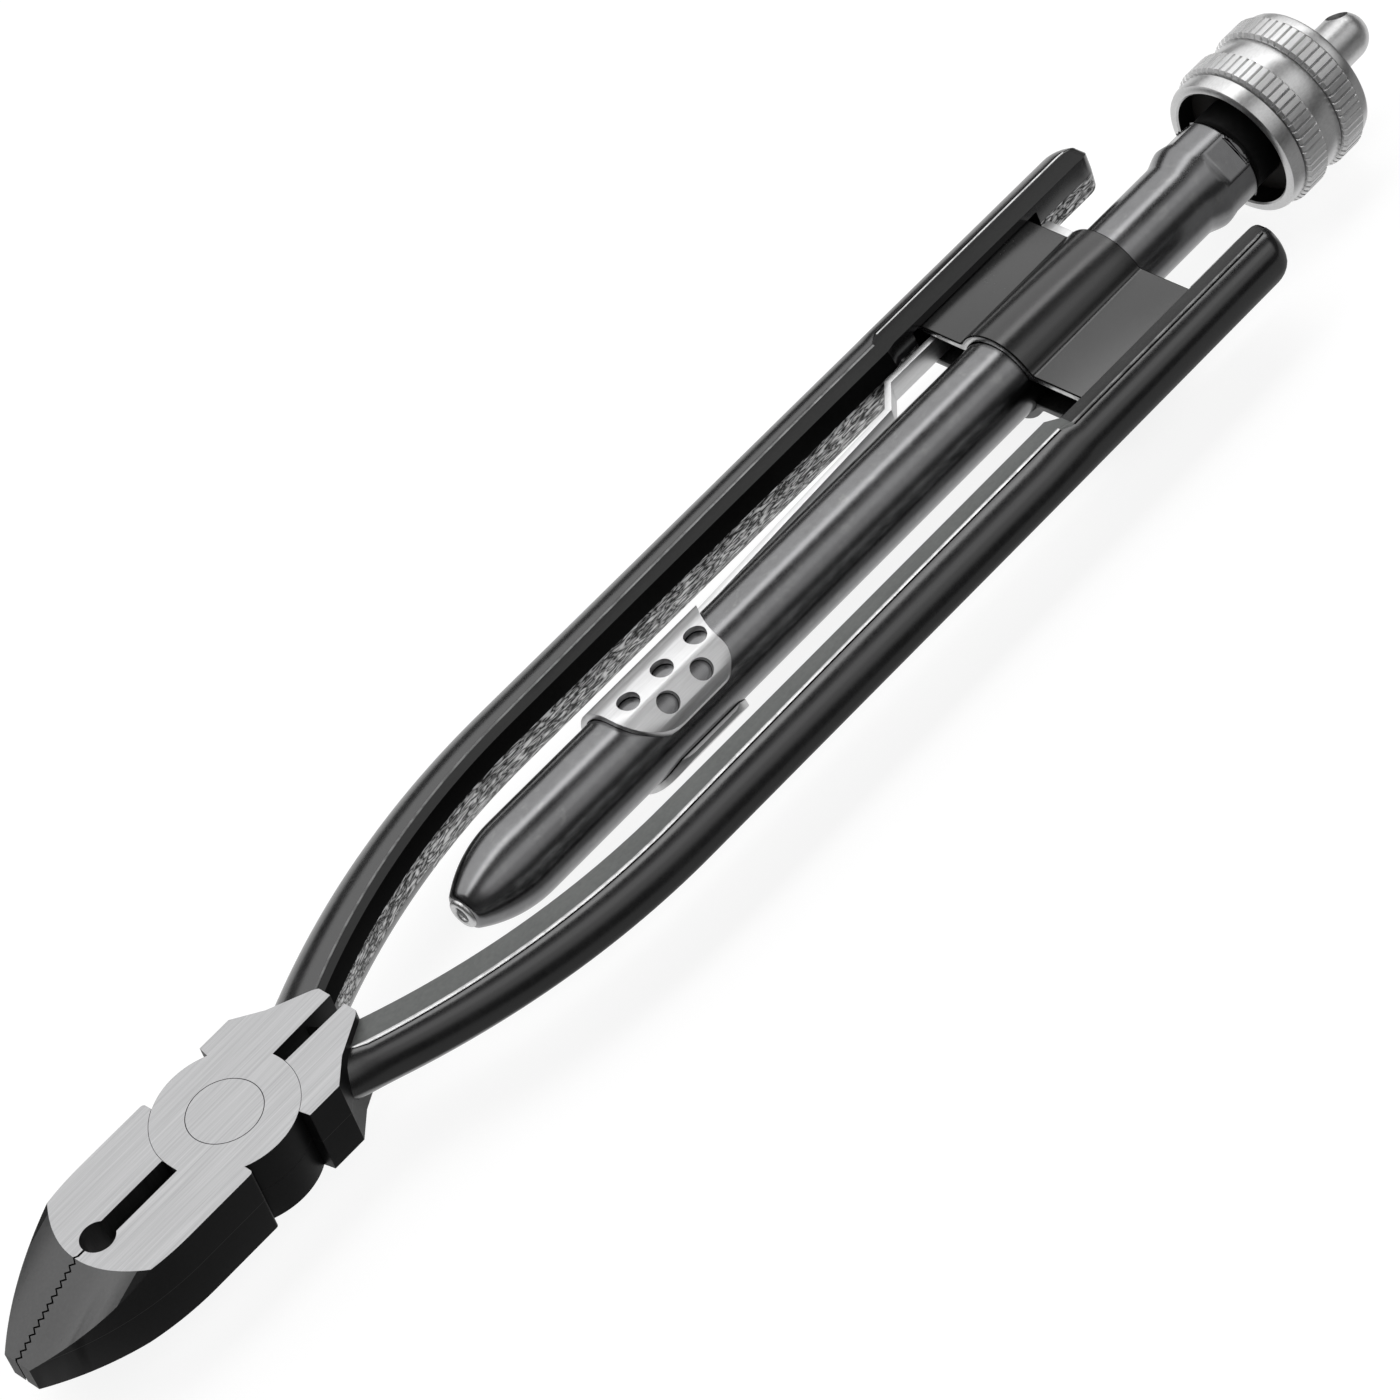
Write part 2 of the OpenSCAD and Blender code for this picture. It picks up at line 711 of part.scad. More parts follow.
// Outline of the thumb pad, seen along its middle: rounded at the free edge, flared at the root
module pad_outline() {
    root_s = -pad_out_r - 1;
    edge_s = pad_mid_r * sin(pad_wrap - pad_view);
    rear_x = pad_x + pad_len;
    rear_s = edge_s - pad_rear_r;
    steps = 8;
    flare = [for (i = [1:steps])
        [rear_x + pad_flare * pow(i / steps, 2), rear_s + (root_s - rear_s) * i / steps]];
    polygon(concat(
        [[pad_x, root_s]],
        arc_points([pad_x + pad_front_r, edge_s - pad_front_r], pad_front_r, 180, 90),
        arc_points([rear_x - pad_rear_r, rear_s], pad_rear_r, 90, 0),
        flare));
}

// One thumb pad: pierced sheet curled from the side of the barrel over its top
module thumb_pad() {
    difference() {
        intersection() {
            rotate([0, 0, 90]) rotate([90, 0, 0]) rotate_extrude(angle = 90 + pad_wrap, $fn = 180)
                translate([pad_in_r, pad_x]) square([strip_t, pad_len + pad_flare]);
            rotate([pad_view, 0, 0]) linear_extrude(6 * pad_out_r, center = true)
                mirror([0, 1]) pad_outline();
        }
        for (row = [0, 1], i = [0:2 - row])
            translate([pad_x + grip_hole_lead + (i + row / 2) * grip_hole_pitch, 0, 0])
                rotate([grip_hole_angle + row * grip_hole_step, 0, 0])
                    cylinder(d = grip_hole_d, h = 2 * pad_out_r, $fn = 48);
    }
}

// Latch on the left side: thumb pads over and under the barrel, strip along it, lugged hook behind the saddle
module latch_left() {
    pad_end = pad_x + pad_len + pad_flare;
    strip = [[pad_end - 3, pad_mid_r], [bend_x, strip_near_y], [bend_x + bend_len, strip_far_y],
             [hook_x, strip_far_y], [hook_x, strip_far_y - hook_reach]];
    color("#c8cacc") at_mid() {
        thumb_pad();
        mirror([0, 0, 1]) thumb_pad();
        slab(strip_h) polygon(ribbon(strip, strip_t));
        translate([hook_x, strip_far_y - hook_reach, strip_h / 2 - lug_t])
            cube([lug_len, hook_reach + strip_t / 2, lug_t]);
    }
}

lever_left();
lever_right();
pivot_rivet();
barrel_tube();
nose_eyelet();
drive_nut();
nut_ring();
thrust_washer();
return_spring();
spring_seat();
spindle_stop();
spindle();
knob_bumper();
knob_shell();
knob_bush();
hanger_stud();
saddle_upper();
saddle_lower();
latch_left();
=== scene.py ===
"""Lock-wire twisting pliers: dressed pieces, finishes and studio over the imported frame."""

import json
import logging
import math
from dataclasses import dataclass, field
from enum import Enum, IntEnum
from typing import Callable, ClassVar, Iterable, Sequence

import bpy
from mathutils import Matrix, Vector

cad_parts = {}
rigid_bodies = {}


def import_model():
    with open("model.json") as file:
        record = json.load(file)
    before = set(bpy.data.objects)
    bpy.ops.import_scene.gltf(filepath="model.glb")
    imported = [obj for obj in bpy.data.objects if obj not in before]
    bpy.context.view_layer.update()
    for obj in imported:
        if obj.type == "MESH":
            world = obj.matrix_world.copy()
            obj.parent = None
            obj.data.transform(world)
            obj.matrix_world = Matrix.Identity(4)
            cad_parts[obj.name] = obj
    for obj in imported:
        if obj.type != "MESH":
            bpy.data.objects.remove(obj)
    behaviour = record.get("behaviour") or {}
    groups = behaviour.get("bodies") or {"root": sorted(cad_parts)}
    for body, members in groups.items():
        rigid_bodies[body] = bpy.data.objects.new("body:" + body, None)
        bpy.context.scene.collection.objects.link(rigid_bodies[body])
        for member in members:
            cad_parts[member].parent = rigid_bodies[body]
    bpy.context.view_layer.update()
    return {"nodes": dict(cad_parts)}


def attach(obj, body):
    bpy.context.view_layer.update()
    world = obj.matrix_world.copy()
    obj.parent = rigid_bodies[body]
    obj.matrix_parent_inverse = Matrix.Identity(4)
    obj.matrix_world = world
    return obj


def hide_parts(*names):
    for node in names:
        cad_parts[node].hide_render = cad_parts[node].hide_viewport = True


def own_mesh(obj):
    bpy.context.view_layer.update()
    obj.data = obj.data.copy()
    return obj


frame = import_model()

MM = 0.001
MID_Z = 4.7  # height of the mid plane over the underside of the head
THROUGH = 20.0  # reach of a tool that cuts right through a piece
log = logging.getLogger("lock_wire_pliers")

Piece = bpy.types.Object
Socket = bpy.types.NodeSocket
Pair = tuple[float, float]
Rgb = tuple[float, float, float]
Point = tuple[float, float, float]
Rule = Callable[[Vector, Vector], int]


def grey(value: float) -> Rgb:
    """Returns a neutral colour."""
    return (value, value, value)


def even(start: float, end: float, steps: int) -> list[float]:
    """Returns both ends of a range and even steps between them."""
    return [start + (end - start) * i / steps for i in range(steps + 1)]


def on_circle(centre: Pair, radius: float, turns: Iterable[float]) -> list[Pair]:
    """Returns points on a circle, at angles in radians."""
    return [(centre[0] + radius * math.cos(a), centre[1] + radius * math.sin(a)) for a in turns]


class Join(Enum):
    """How one body is worked into another."""

    ADD = "UNION"
    CUT = "DIFFERENCE"
    COMMON = "INTERSECT"


class Side(Enum):
    """Side of the tool that a handle lies on: +1 for the left, -1 for the right."""

    LEFT = 1
    RIGHT = -1

    @property
    def word(self) -> str:
        """The side as it stands in names."""
        return self.name.lower()


class Bench:
    """Hand tools that shape a piece in millimetres about the mid plane of the tool."""

    @staticmethod
    def clear() -> None:
        """Leaves edit mode and drops every selection."""
        if bpy.context.mode != "OBJECT":
            bpy.ops.object.mode_set(mode="OBJECT")
        bpy.ops.object.select_all(action="DESELECT")

    @staticmethod
    def hold(obj: Piece) -> None:
        """Makes one object the only selected one and the active one."""
        Bench.clear()
        bpy.context.view_layer.objects.active = obj
        obj.select_set(True)

    @staticmethod
    def edit(obj: Piece) -> None:
        """Takes a piece into edit mode with all of it selected."""
        Bench.hold(obj)
        bpy.ops.object.mode_set(mode="EDIT")
        bpy.ops.mesh.select_all(action="SELECT")

    @staticmethod
    def apply(obj: Piece, kind: str, **settings: object) -> None:
        """Puts a modifier on a piece, sets it and applies it."""
        modifier = obj.modifiers.new(kind.lower(), kind)
        for key, value in settings.items():
            setattr(modifier, key, value)
        Bench.hold(obj)
        bpy.ops.object.modifier_apply(modifier=modifier.name)

    @staticmethod
    def adopt(name: str) -> Piece:
        """Names the object that has just been made, with its place put in its mesh."""
        obj = bpy.context.object
        obj.name = obj.data.name = name
        bpy.ops.object.transform_apply(location=True, rotation=True, scale=True)
        return obj

    @staticmethod
    def blank(name: str) -> Piece:
        """Starts a piece with an empty mesh and leaves it in edit mode.

        Args:
            name: Name of the piece.

        Returns:
            The object, at the origin.
        """
        Bench.clear()
        bpy.ops.mesh.primitive_plane_add(size=1.0)
        obj = Bench.adopt(name)
        bpy.ops.object.mode_set(mode="EDIT")
        bpy.ops.mesh.select_mode(type="VERT")
        bpy.ops.mesh.select_all(action="SELECT")
        bpy.ops.mesh.delete(type="VERT")
        return obj

    @staticmethod
    def pick(obj: Piece, test: Callable[[Vector], bool]) -> None:
        """Selects, in edit mode, only the vertices whose place passes the test.

        Args:
            obj: Piece in edit mode.
            test: Tells whether a vertex place is wanted.
        """
        bpy.ops.mesh.select_mode(type="VERT")
        bpy.ops.mesh.select_all(action="DESELECT")
        bpy.ops.object.mode_set(mode="OBJECT")
        for vertex in obj.data.vertices:
            vertex.select = test(vertex.co)
        bpy.ops.object.mode_set(mode="EDIT")
        bpy.ops.mesh.select_mode(type="VERT")

    @staticmethod
    def chain(points: Sequence[Point], closed: bool = True, filled: bool = True) -> None:
        """Draws a line of edges in edit mode, point by point, and leaves it selected.

        Args:
            points: Places along the line.
            closed: Joins the last point to the first.
            filled: Keeps the face inside a closed line.
        """
        bpy.ops.mesh.primitive_plane_add(size=1.0, location=points[0])
        bpy.ops.mesh.merge(type="CENTER")
        line = [*points, points[0]] if closed else points
        for here, there in zip(line, line[1:]):
            step = Vector(there) - Vector(here)
            bpy.ops.mesh.extrude_vertices_move(TRANSFORM_OT_translate={"value": step})
        bpy.ops.mesh.select_linked()
        if closed:
            bpy.ops.mesh.remove_doubles(threshold=0.001)
        if filled:
            bpy.ops.mesh.edge_face_add()

    @staticmethod
    def push(step: Point) -> None:
        """Extrudes the selected faces by a step."""
        bpy.ops.mesh.extrude_region_move(TRANSFORM_OT_translate={"value": step})

    @staticmethod
    def swell(scale: float) -> None:
        """Scales what is selected about the barrel axis."""
        bpy.ops.transform.resize(value=(1, scale, scale), center_override=(0, 0, 0))

    @staticmethod
    def close() -> None:
        """Merges doubles, turns every face outwards and leaves edit mode."""
        bpy.ops.mesh.select_all(action="SELECT")
        bpy.ops.mesh.remove_doubles(threshold=0.002)
        bpy.ops.mesh.normals_make_consistent(inside=False)
        bpy.ops.object.mode_set(mode="OBJECT")

    @staticmethod
    def prism(name: str, points: Sequence[Point], step: Point,
              rounds: Sequence[tuple[int, float]] = ()) -> Piece:
        """Draws an outline, rounds some of its corners and extrudes it.

        Args:
            name: Name of the piece.
            points: Corners of the outline.
            step: Extrusion vector.
            rounds: Pairs of corner number and corner radius.

        Returns:
            The closed solid.
        """
        obj = Bench.blank(name)
        Bench.chain(points)
        for corner, radius in rounds:
            at = Vector(points[corner])
            Bench.pick(obj, lambda co: (co - at).length < 1e-4)
            bpy.ops.mesh.bevel(offset=radius, segments=4, affect="VERTICES")
        bpy.ops.mesh.select_all(action="SELECT")
        Bench.push(step)
        Bench.close()
        return obj

    @staticmethod
    def lathe(name: str, profile: Sequence[Pair], closed: bool = True, steps: int = 96) -> Piece:
        """Spins a profile about the barrel axis.

        Args:
            name: Name of the piece.
            profile: Pairs of distance along X and radius.
            closed: The profile is a ring; otherwise it runs from axis to axis.
            steps: Steps of the full turn.

        Returns:
            The closed solid.
        """
        obj = Bench.blank(name)
        Bench.chain([(x, 0.0, r) for x, r in profile], closed=closed, filled=False)
        bpy.ops.mesh.spin(steps=steps, angle=2 * math.pi, center=(0, 0, 0), axis=(1, 0, 0))
        Bench.close()
        return obj

    @staticmethod
    def rod(name: str, radius: float, start: Point, end: Point, sides: int = 64) -> Piece:
        """Adds a round cutting tool between two points.

        Args:
            name: Name of the tool.
            radius: Its radius.
            start: Centre of one end.
            end: Centre of the other end.
            sides: Number of its sides.

        Returns:
            The solid.
        """
        a, b = Vector(start), Vector(end)
        Bench.clear()
        bpy.ops.mesh.primitive_cylinder_add(
            vertices=sides, radius=radius, depth=(b - a).length, location=(a + b) / 2,
            rotation=(b - a).to_track_quat("Z", "Y").to_euler())
        return Bench.adopt(name)

    @staticmethod
    def block(name: str, low: Point, high: Point) -> Piece:
        """Adds a cutting block between two corners."""
        a, b = Vector(low), Vector(high)
        Bench.clear()
        bpy.ops.mesh.primitive_cube_add(size=1.0, location=(a + b) / 2, scale=b - a)
        return Bench.adopt(name)

    @staticmethod
    def work(obj: Piece, tool: Piece, how: Join) -> None:
        """Joins, cuts or keeps in common a piece and a tool, and puts the tool away.

        Args:
            obj: Piece that is changed.
            tool: Body that goes into it.
            how: Kind of the work.
        """
        Bench.apply(obj, "BOOLEAN", operation=how.value, solver="EXACT", object=tool)
        bpy.data.meshes.remove(tool.data)

    @staticmethod
    def ease(obj: Piece, width: float, segments: int = 2, angle: float = 30.0, slot: int = -1) -> None:
        """Rounds the sharp edges of a piece.

        Args:
            obj: Piece that is changed.
            width: Width of the rounding.
            segments: Faces across it.
            angle: Least angle of an edge that is rounded, in degrees.
            slot: Material slot of the new faces, or -1 for that of their neighbours.
        """
        Bench.apply(obj, "BEVEL", width=width, segments=segments, limit_method="ANGLE",
                    angle_limit=math.radians(angle), use_clamp_overlap=True, material=slot)

    @staticmethod
    def twin(obj: Piece, name: str) -> Piece:
        """Copies a piece with its own mesh and turns the copy half round the barrel axis.

        Args:
            obj: Piece that is copied.
            name: Name of the copy.

        Returns:
            The copy.
        """
        Bench.hold(obj)
        bpy.ops.object.duplicate(linked=False)
        bpy.context.object.rotation_euler = (math.pi, 0, 0)
        return Bench.adopt(name)

    @staticmethod
    def mirrored(obj: Piece, name: str) -> Piece:
        """Copies a piece with its own mesh and mirrors the copy in the mid plane.

        Args:
            obj: Piece that is copied.
            name: Name of the copy.

        Returns:
            The copy.
        """
        Bench.hold(obj)
        bpy.ops.object.duplicate(linked=False)
        copy = Bench.adopt(name)
        Bench.edit(copy)
        bpy.ops.transform.resize(value=(1, 1, -1), center_override=(0, 0, 0))
        Bench.close()
        return copy

    @staticmethod
    def paint(obj: Piece, finishes: Sequence["Finish"], rule: Rule | None = None) -> None:
        """Gives a piece its finishes, face by face.

        Args:
            obj: Piece that is painted.
            finishes: Finishes in slot order.
            rule: Slot of a face from its centre and normal; the first slot if there is none.
        """
        obj.data.materials.clear()
        for finish in finishes:
            obj.data.materials.append(finish.material())
        for face in obj.data.polygons:
            face.material_index = rule(face.center, face.normal) if rule else 0

    @staticmethod
    def ship(obj: Piece, body: str, node: str, slot: str, angle: float = 32.0) -> None:
        """Brings a finished piece to the row frame and hands it to its body.

        Args:
            obj: Piece in millimetres.
            body: CAD body that it rides on.
            node: CAD node that it stands for.
            slot: Material slot of the record; not used.
            angle: Edges below this angle are shaded smooth, in degrees.
        """
        Bench.hold(obj)
        obj.location = (0, 0, MID_Z * MM)
        obj.scale = (MM, MM, MM)
        bpy.ops.object.transform_apply(location=True, rotation=True, scale=True)
        bpy.ops.object.shade_smooth_by_angle(angle=math.radians(angle))
        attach(obj, body)
        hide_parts(node)
        log.info("%s on %s, %d faces", obj.name, body, len(obj.data.polygons))


class Shader:
    """A node material under construction, on Object coordinates in millimetres."""

    def __init__(self, name: str) -> None:
        """Starts a material with a bare principled surface."""
        self.material = bpy.data.materials.new(name)
        self.material.use_nodes = True
        self.tree = self.material.node_tree
        self.skin = self.tree.nodes["Principled BSDF"]
        self.place = self.node("ShaderNodeTexCoord").outputs["Object"]

    def node(self, kind: str, **settings: object) -> bpy.types.Node:
        """Adds a node and sets its properties."""
        made = self.tree.nodes.new(kind)
        for key, value in settings.items():
            setattr(made, key, value)
        return made

    @staticmethod
    def settle(node: bpy.types.Node, values: dict[str, object]) -> None:
        """Sets inputs of a node by name."""
        for key, value in values.items():
            node.inputs[key].default_value = value

    def join(self, start: Socket, end: Socket) -> None:
        """Links two sockets."""
        self.tree.links.new(start, end)

    def grain(self, pitch: Point, detail: float = 4.0, rough: float = 0.55, warp: float = 0.0) -> Socket:
        """Adds a noise with its own number of repeats per millimetre along each axis.

        Args:
            pitch: Repeats per millimetre along X, Y and Z.
            detail: Octaves of the noise.
            rough: Weight of the finer octaves.
            warp: Distortion of the noise.

        Returns:
            The noise value.
        """
        mapping = self.node("ShaderNodeMapping")
        self.settle(mapping, {"Scale": [1000 * p for p in pitch]})
        self.join(self.place, mapping.inputs["Vector"])
        noise = self.node("ShaderNodeTexNoise")
        self.settle(noise, {"Scale": 1.0, "Detail": detail, "Roughness": rough, "Distortion": warp})
        self.join(mapping.outputs["Vector"], noise.inputs["Vector"])
        return noise.outputs["Fac"]

    def ramp(self, value: Socket, stops: Sequence[tuple[float, Rgb]]) -> Socket:
        """Adds a colour ramp.

        Args:
            value: Driving value.
            stops: Pairs of position and colour.

        Returns:
            The colour.
        """
        ramp = self.node("ShaderNodeValToRGB")
        marks = ramp.color_ramp.elements
        while len(marks) < len(stops):
            marks.new(0.5)
        for mark, (at, tone) in zip(marks, stops):
            mark.position = at
            mark.color = (*tone, 1.0)
        self.join(value, ramp.inputs["Fac"])
        return ramp.outputs["Color"]

    def spread(self, value: Socket, low: float, high: float,
               start: float = 0.3, end: float = 0.7) -> Socket:
        """Maps a value from one range to another, with its ends held.

        Args:
            value: Driving value.
            low: Result at the start.
            high: Result at the end.
            start: Value that gives low.
            end: Value that gives high.

        Returns:
            The mapped value.
        """
        node = self.node("ShaderNodeMapRange", clamp=True)
        for socket, number in zip(node.inputs[1:5], (start, end, low, high)):
            socket.default_value = number
        self.join(value, node.inputs[0])
        return node.outputs[0]

    def blend(self, share: Socket, plain: Socket, over: Rgb) -> Socket:
        """Lays a fixed colour over another.

        Args:
            share: Share of the fixed colour.
            plain: Colour under it.
            over: Fixed colour.

        Returns:
            The mixed colour.
        """
        mix = self.node("ShaderNodeMix", data_type="RGBA")
        self.join(share, mix.inputs[0])
        self.join(plain, mix.inputs[6])
        mix.inputs[7].default_value = (*over, 1.0)
        return mix.outputs[2]

    def sums(self, kind: str, first: Socket, second: Socket | float) -> Socket:
        """Adds a math node of a kind and returns its value."""
        node = self.node("ShaderNodeMath", operation=kind)
        self.join(first, node.inputs[0])
        if isinstance(second, float):
            node.inputs[1].default_value = second
        else:
            self.join(second, node.inputs[1])
        return node.outputs[0]

    def mean(self, first: Socket, second: Socket) -> Socket:
        """Returns the mean of two values."""
        return self.sums("MULTIPLY", self.sums("ADD", first, second), 0.5)

    def relief(self, height: Socket, strength: float, depth: float) -> None:
        """Bumps the surface by a height, with the depth in millimetres."""
        bump = self.node("ShaderNodeBump")
        self.settle(bump, {"Strength": strength, "Distance": depth * MM})
        self.join(height, bump.inputs["Height"])
        self.join(bump.outputs["Normal"], self.skin.inputs["Normal"])

    def level_line(self, height: float, half: float) -> Socket:
        """Gives 1 in a thin level band and 0 elsewhere.

        Args:
            height: Height of the band over the underside of the head, in millimetres.
            half: Half of its width, in millimetres.

        Returns:
            The mask.
        """
        split = self.node("ShaderNodeSeparateXYZ")
        self.join(self.place, split.inputs[0])
        off = self.sums("ABSOLUTE", self.sums("SUBTRACT", split.outputs["Z"], height * MM), 0.0)
        return self.spread(off, 1.0, 0.0, 0.4 * half * MM, half * MM)


@dataclass(frozen=True)
class Finish:
    """A surface finish: two tones, a gloss range and a grain."""

    name: str
    dark: Rgb
    light: Rgb
    metal: float
    gloss: Pair
    specular: float = 0.5
    pitch: Point = (2.0, 2.0, 2.0)
    relief: float = 0.1
    depth: float = 0.05
    band: ClassVar[Pair] = (0.36, 0.64)

    def material(self) -> bpy.types.Material:
        """Returns the material of the finish, made on first use."""
        known = bpy.data.materials.get(self.name)
        if known:
            return known
        shader = Shader(self.name)
        shader.settle(shader.skin, {"Metallic": self.metal, "Specular IOR Level": self.specular})
        self.dress(shader)
        return shader.material

    def dress(self, shader: Shader) -> None:
        """Wires tone, gloss and relief from the grains of the finish."""
        both, height = self.grains(shader)
        plain = shader.ramp(both, list(zip(self.band, (self.dark, self.light))))
        shader.join(self.tone(shader, plain), shader.skin.inputs["Base Color"])
        shader.join(shader.spread(both, *self.gloss), shader.skin.inputs["Roughness"])
        shader.relief(height, self.relief, self.depth)

    def grains(self, shader: Shader) -> tuple[Socket, Socket]:
        """Returns the mean of a fine and a broad grain for the tone, and the fine one for the relief."""
        fine = shader.grain(self.pitch)
        broad = shader.grain((0.11, 0.13, 0.12), detail=3.0)
        return shader.mean(fine, broad), fine

    def tone(self, shader: Shader, plain: Socket) -> Socket:
        """Returns the colour of the finish from its plain grain."""
        return plain


@dataclass(frozen=True)
class LinedFinish(Finish):
    """A forged finish with a faint parting line at mid height, painted lighter than the skin: the seam itself,
    with a painted highlight along it.
    """

    # Tone of the parting line: partly the seam, partly a painted highlight along it.
    line: Rgb = grey(0.05)
    line_half: float = 0.05

    def tone(self, shader: Shader, plain: Socket) -> Socket:
        """Lays the parting line, seam and painted highlight, over the grain."""
        return shader.blend(shader.level_line(MID_Z, self.line_half), plain, self.line)


@dataclass(frozen=True)
class WornFinish(Finish):
    """A dark finish rubbed through to bare steel in patches."""

    bare: Rgb = (0.42, 0.42, 0.43)
    rub: float = 0.55

    def tone(self, shader: Shader, plain: Socket) -> Socket:
        """Shows the bare metal where a broad grain is high."""
        rubbed = shader.grain((0.5, 0.6, 0.6), detail=5.0, rough=0.65)
        share = shader.spread(rubbed, 0.0, 1.0, self.rub - 0.06, self.rub + 0.08)
        return shader.blend(share, plain, self.bare)


@dataclass(frozen=True)
class BrushedFinish(Finish):
    """Ground steel with long fine streaks."""

    streak: Point = (0.05, 3.4, 1.0)
    band: ClassVar[Pair] = (0.34, 0.66)

    def grains(self, shader: Shader) -> tuple[Socket, Socket]:
        """Returns the mean of a fine and a coarse streaked grain, for the tone and for the relief."""
        both = shader.mean(shader.grain(self.pitch, detail=5.0, rough=0.6), shader.grain(self.streak))
        return both, both


@dataclass(frozen=True)
class CrinkleFinish(Finish):
    """Trimmed forging skin: bright metal torn into ridges, with dark cracks along it."""

    crack: float = 0.05
    patchy: ClassVar[Pair] = (0.7, 1.3)
    fades: ClassVar[tuple[Pair, ...]] = ((1.0, 0.25), (2.0, 0.5), (4.0, 1.0))

    def dress(self, shader: Shader) -> None:
        """Wires dark cracks along the middle of a stretched noise, and bright ridges beside them."""
        torn = shader.grain(self.pitch, detail=1.0, rough=0.5, warp=0.5)
        off = shader.sums("ABSOLUTE", shader.sums("SUBTRACT", torn, 0.5), 0.0)
        patch = shader.spread(shader.grain((0.8, 1.2, 1.2), detail=3.0), *self.patchy)
        height = shader.sums("MULTIPLY", off, patch)
        ridges = [(at * self.crack, tuple(share * c for c in self.light)) for at, share in self.fades]
        tone = shader.ramp(height, [(0.4 * self.crack, self.dark), *ridges])
        shader.join(tone, shader.skin.inputs["Base Color"])
        shader.join(shader.spread(patch, *self.gloss, *self.patchy), shader.skin.inputs["Roughness"])
        shader.relief(height, self.relief, self.depth)


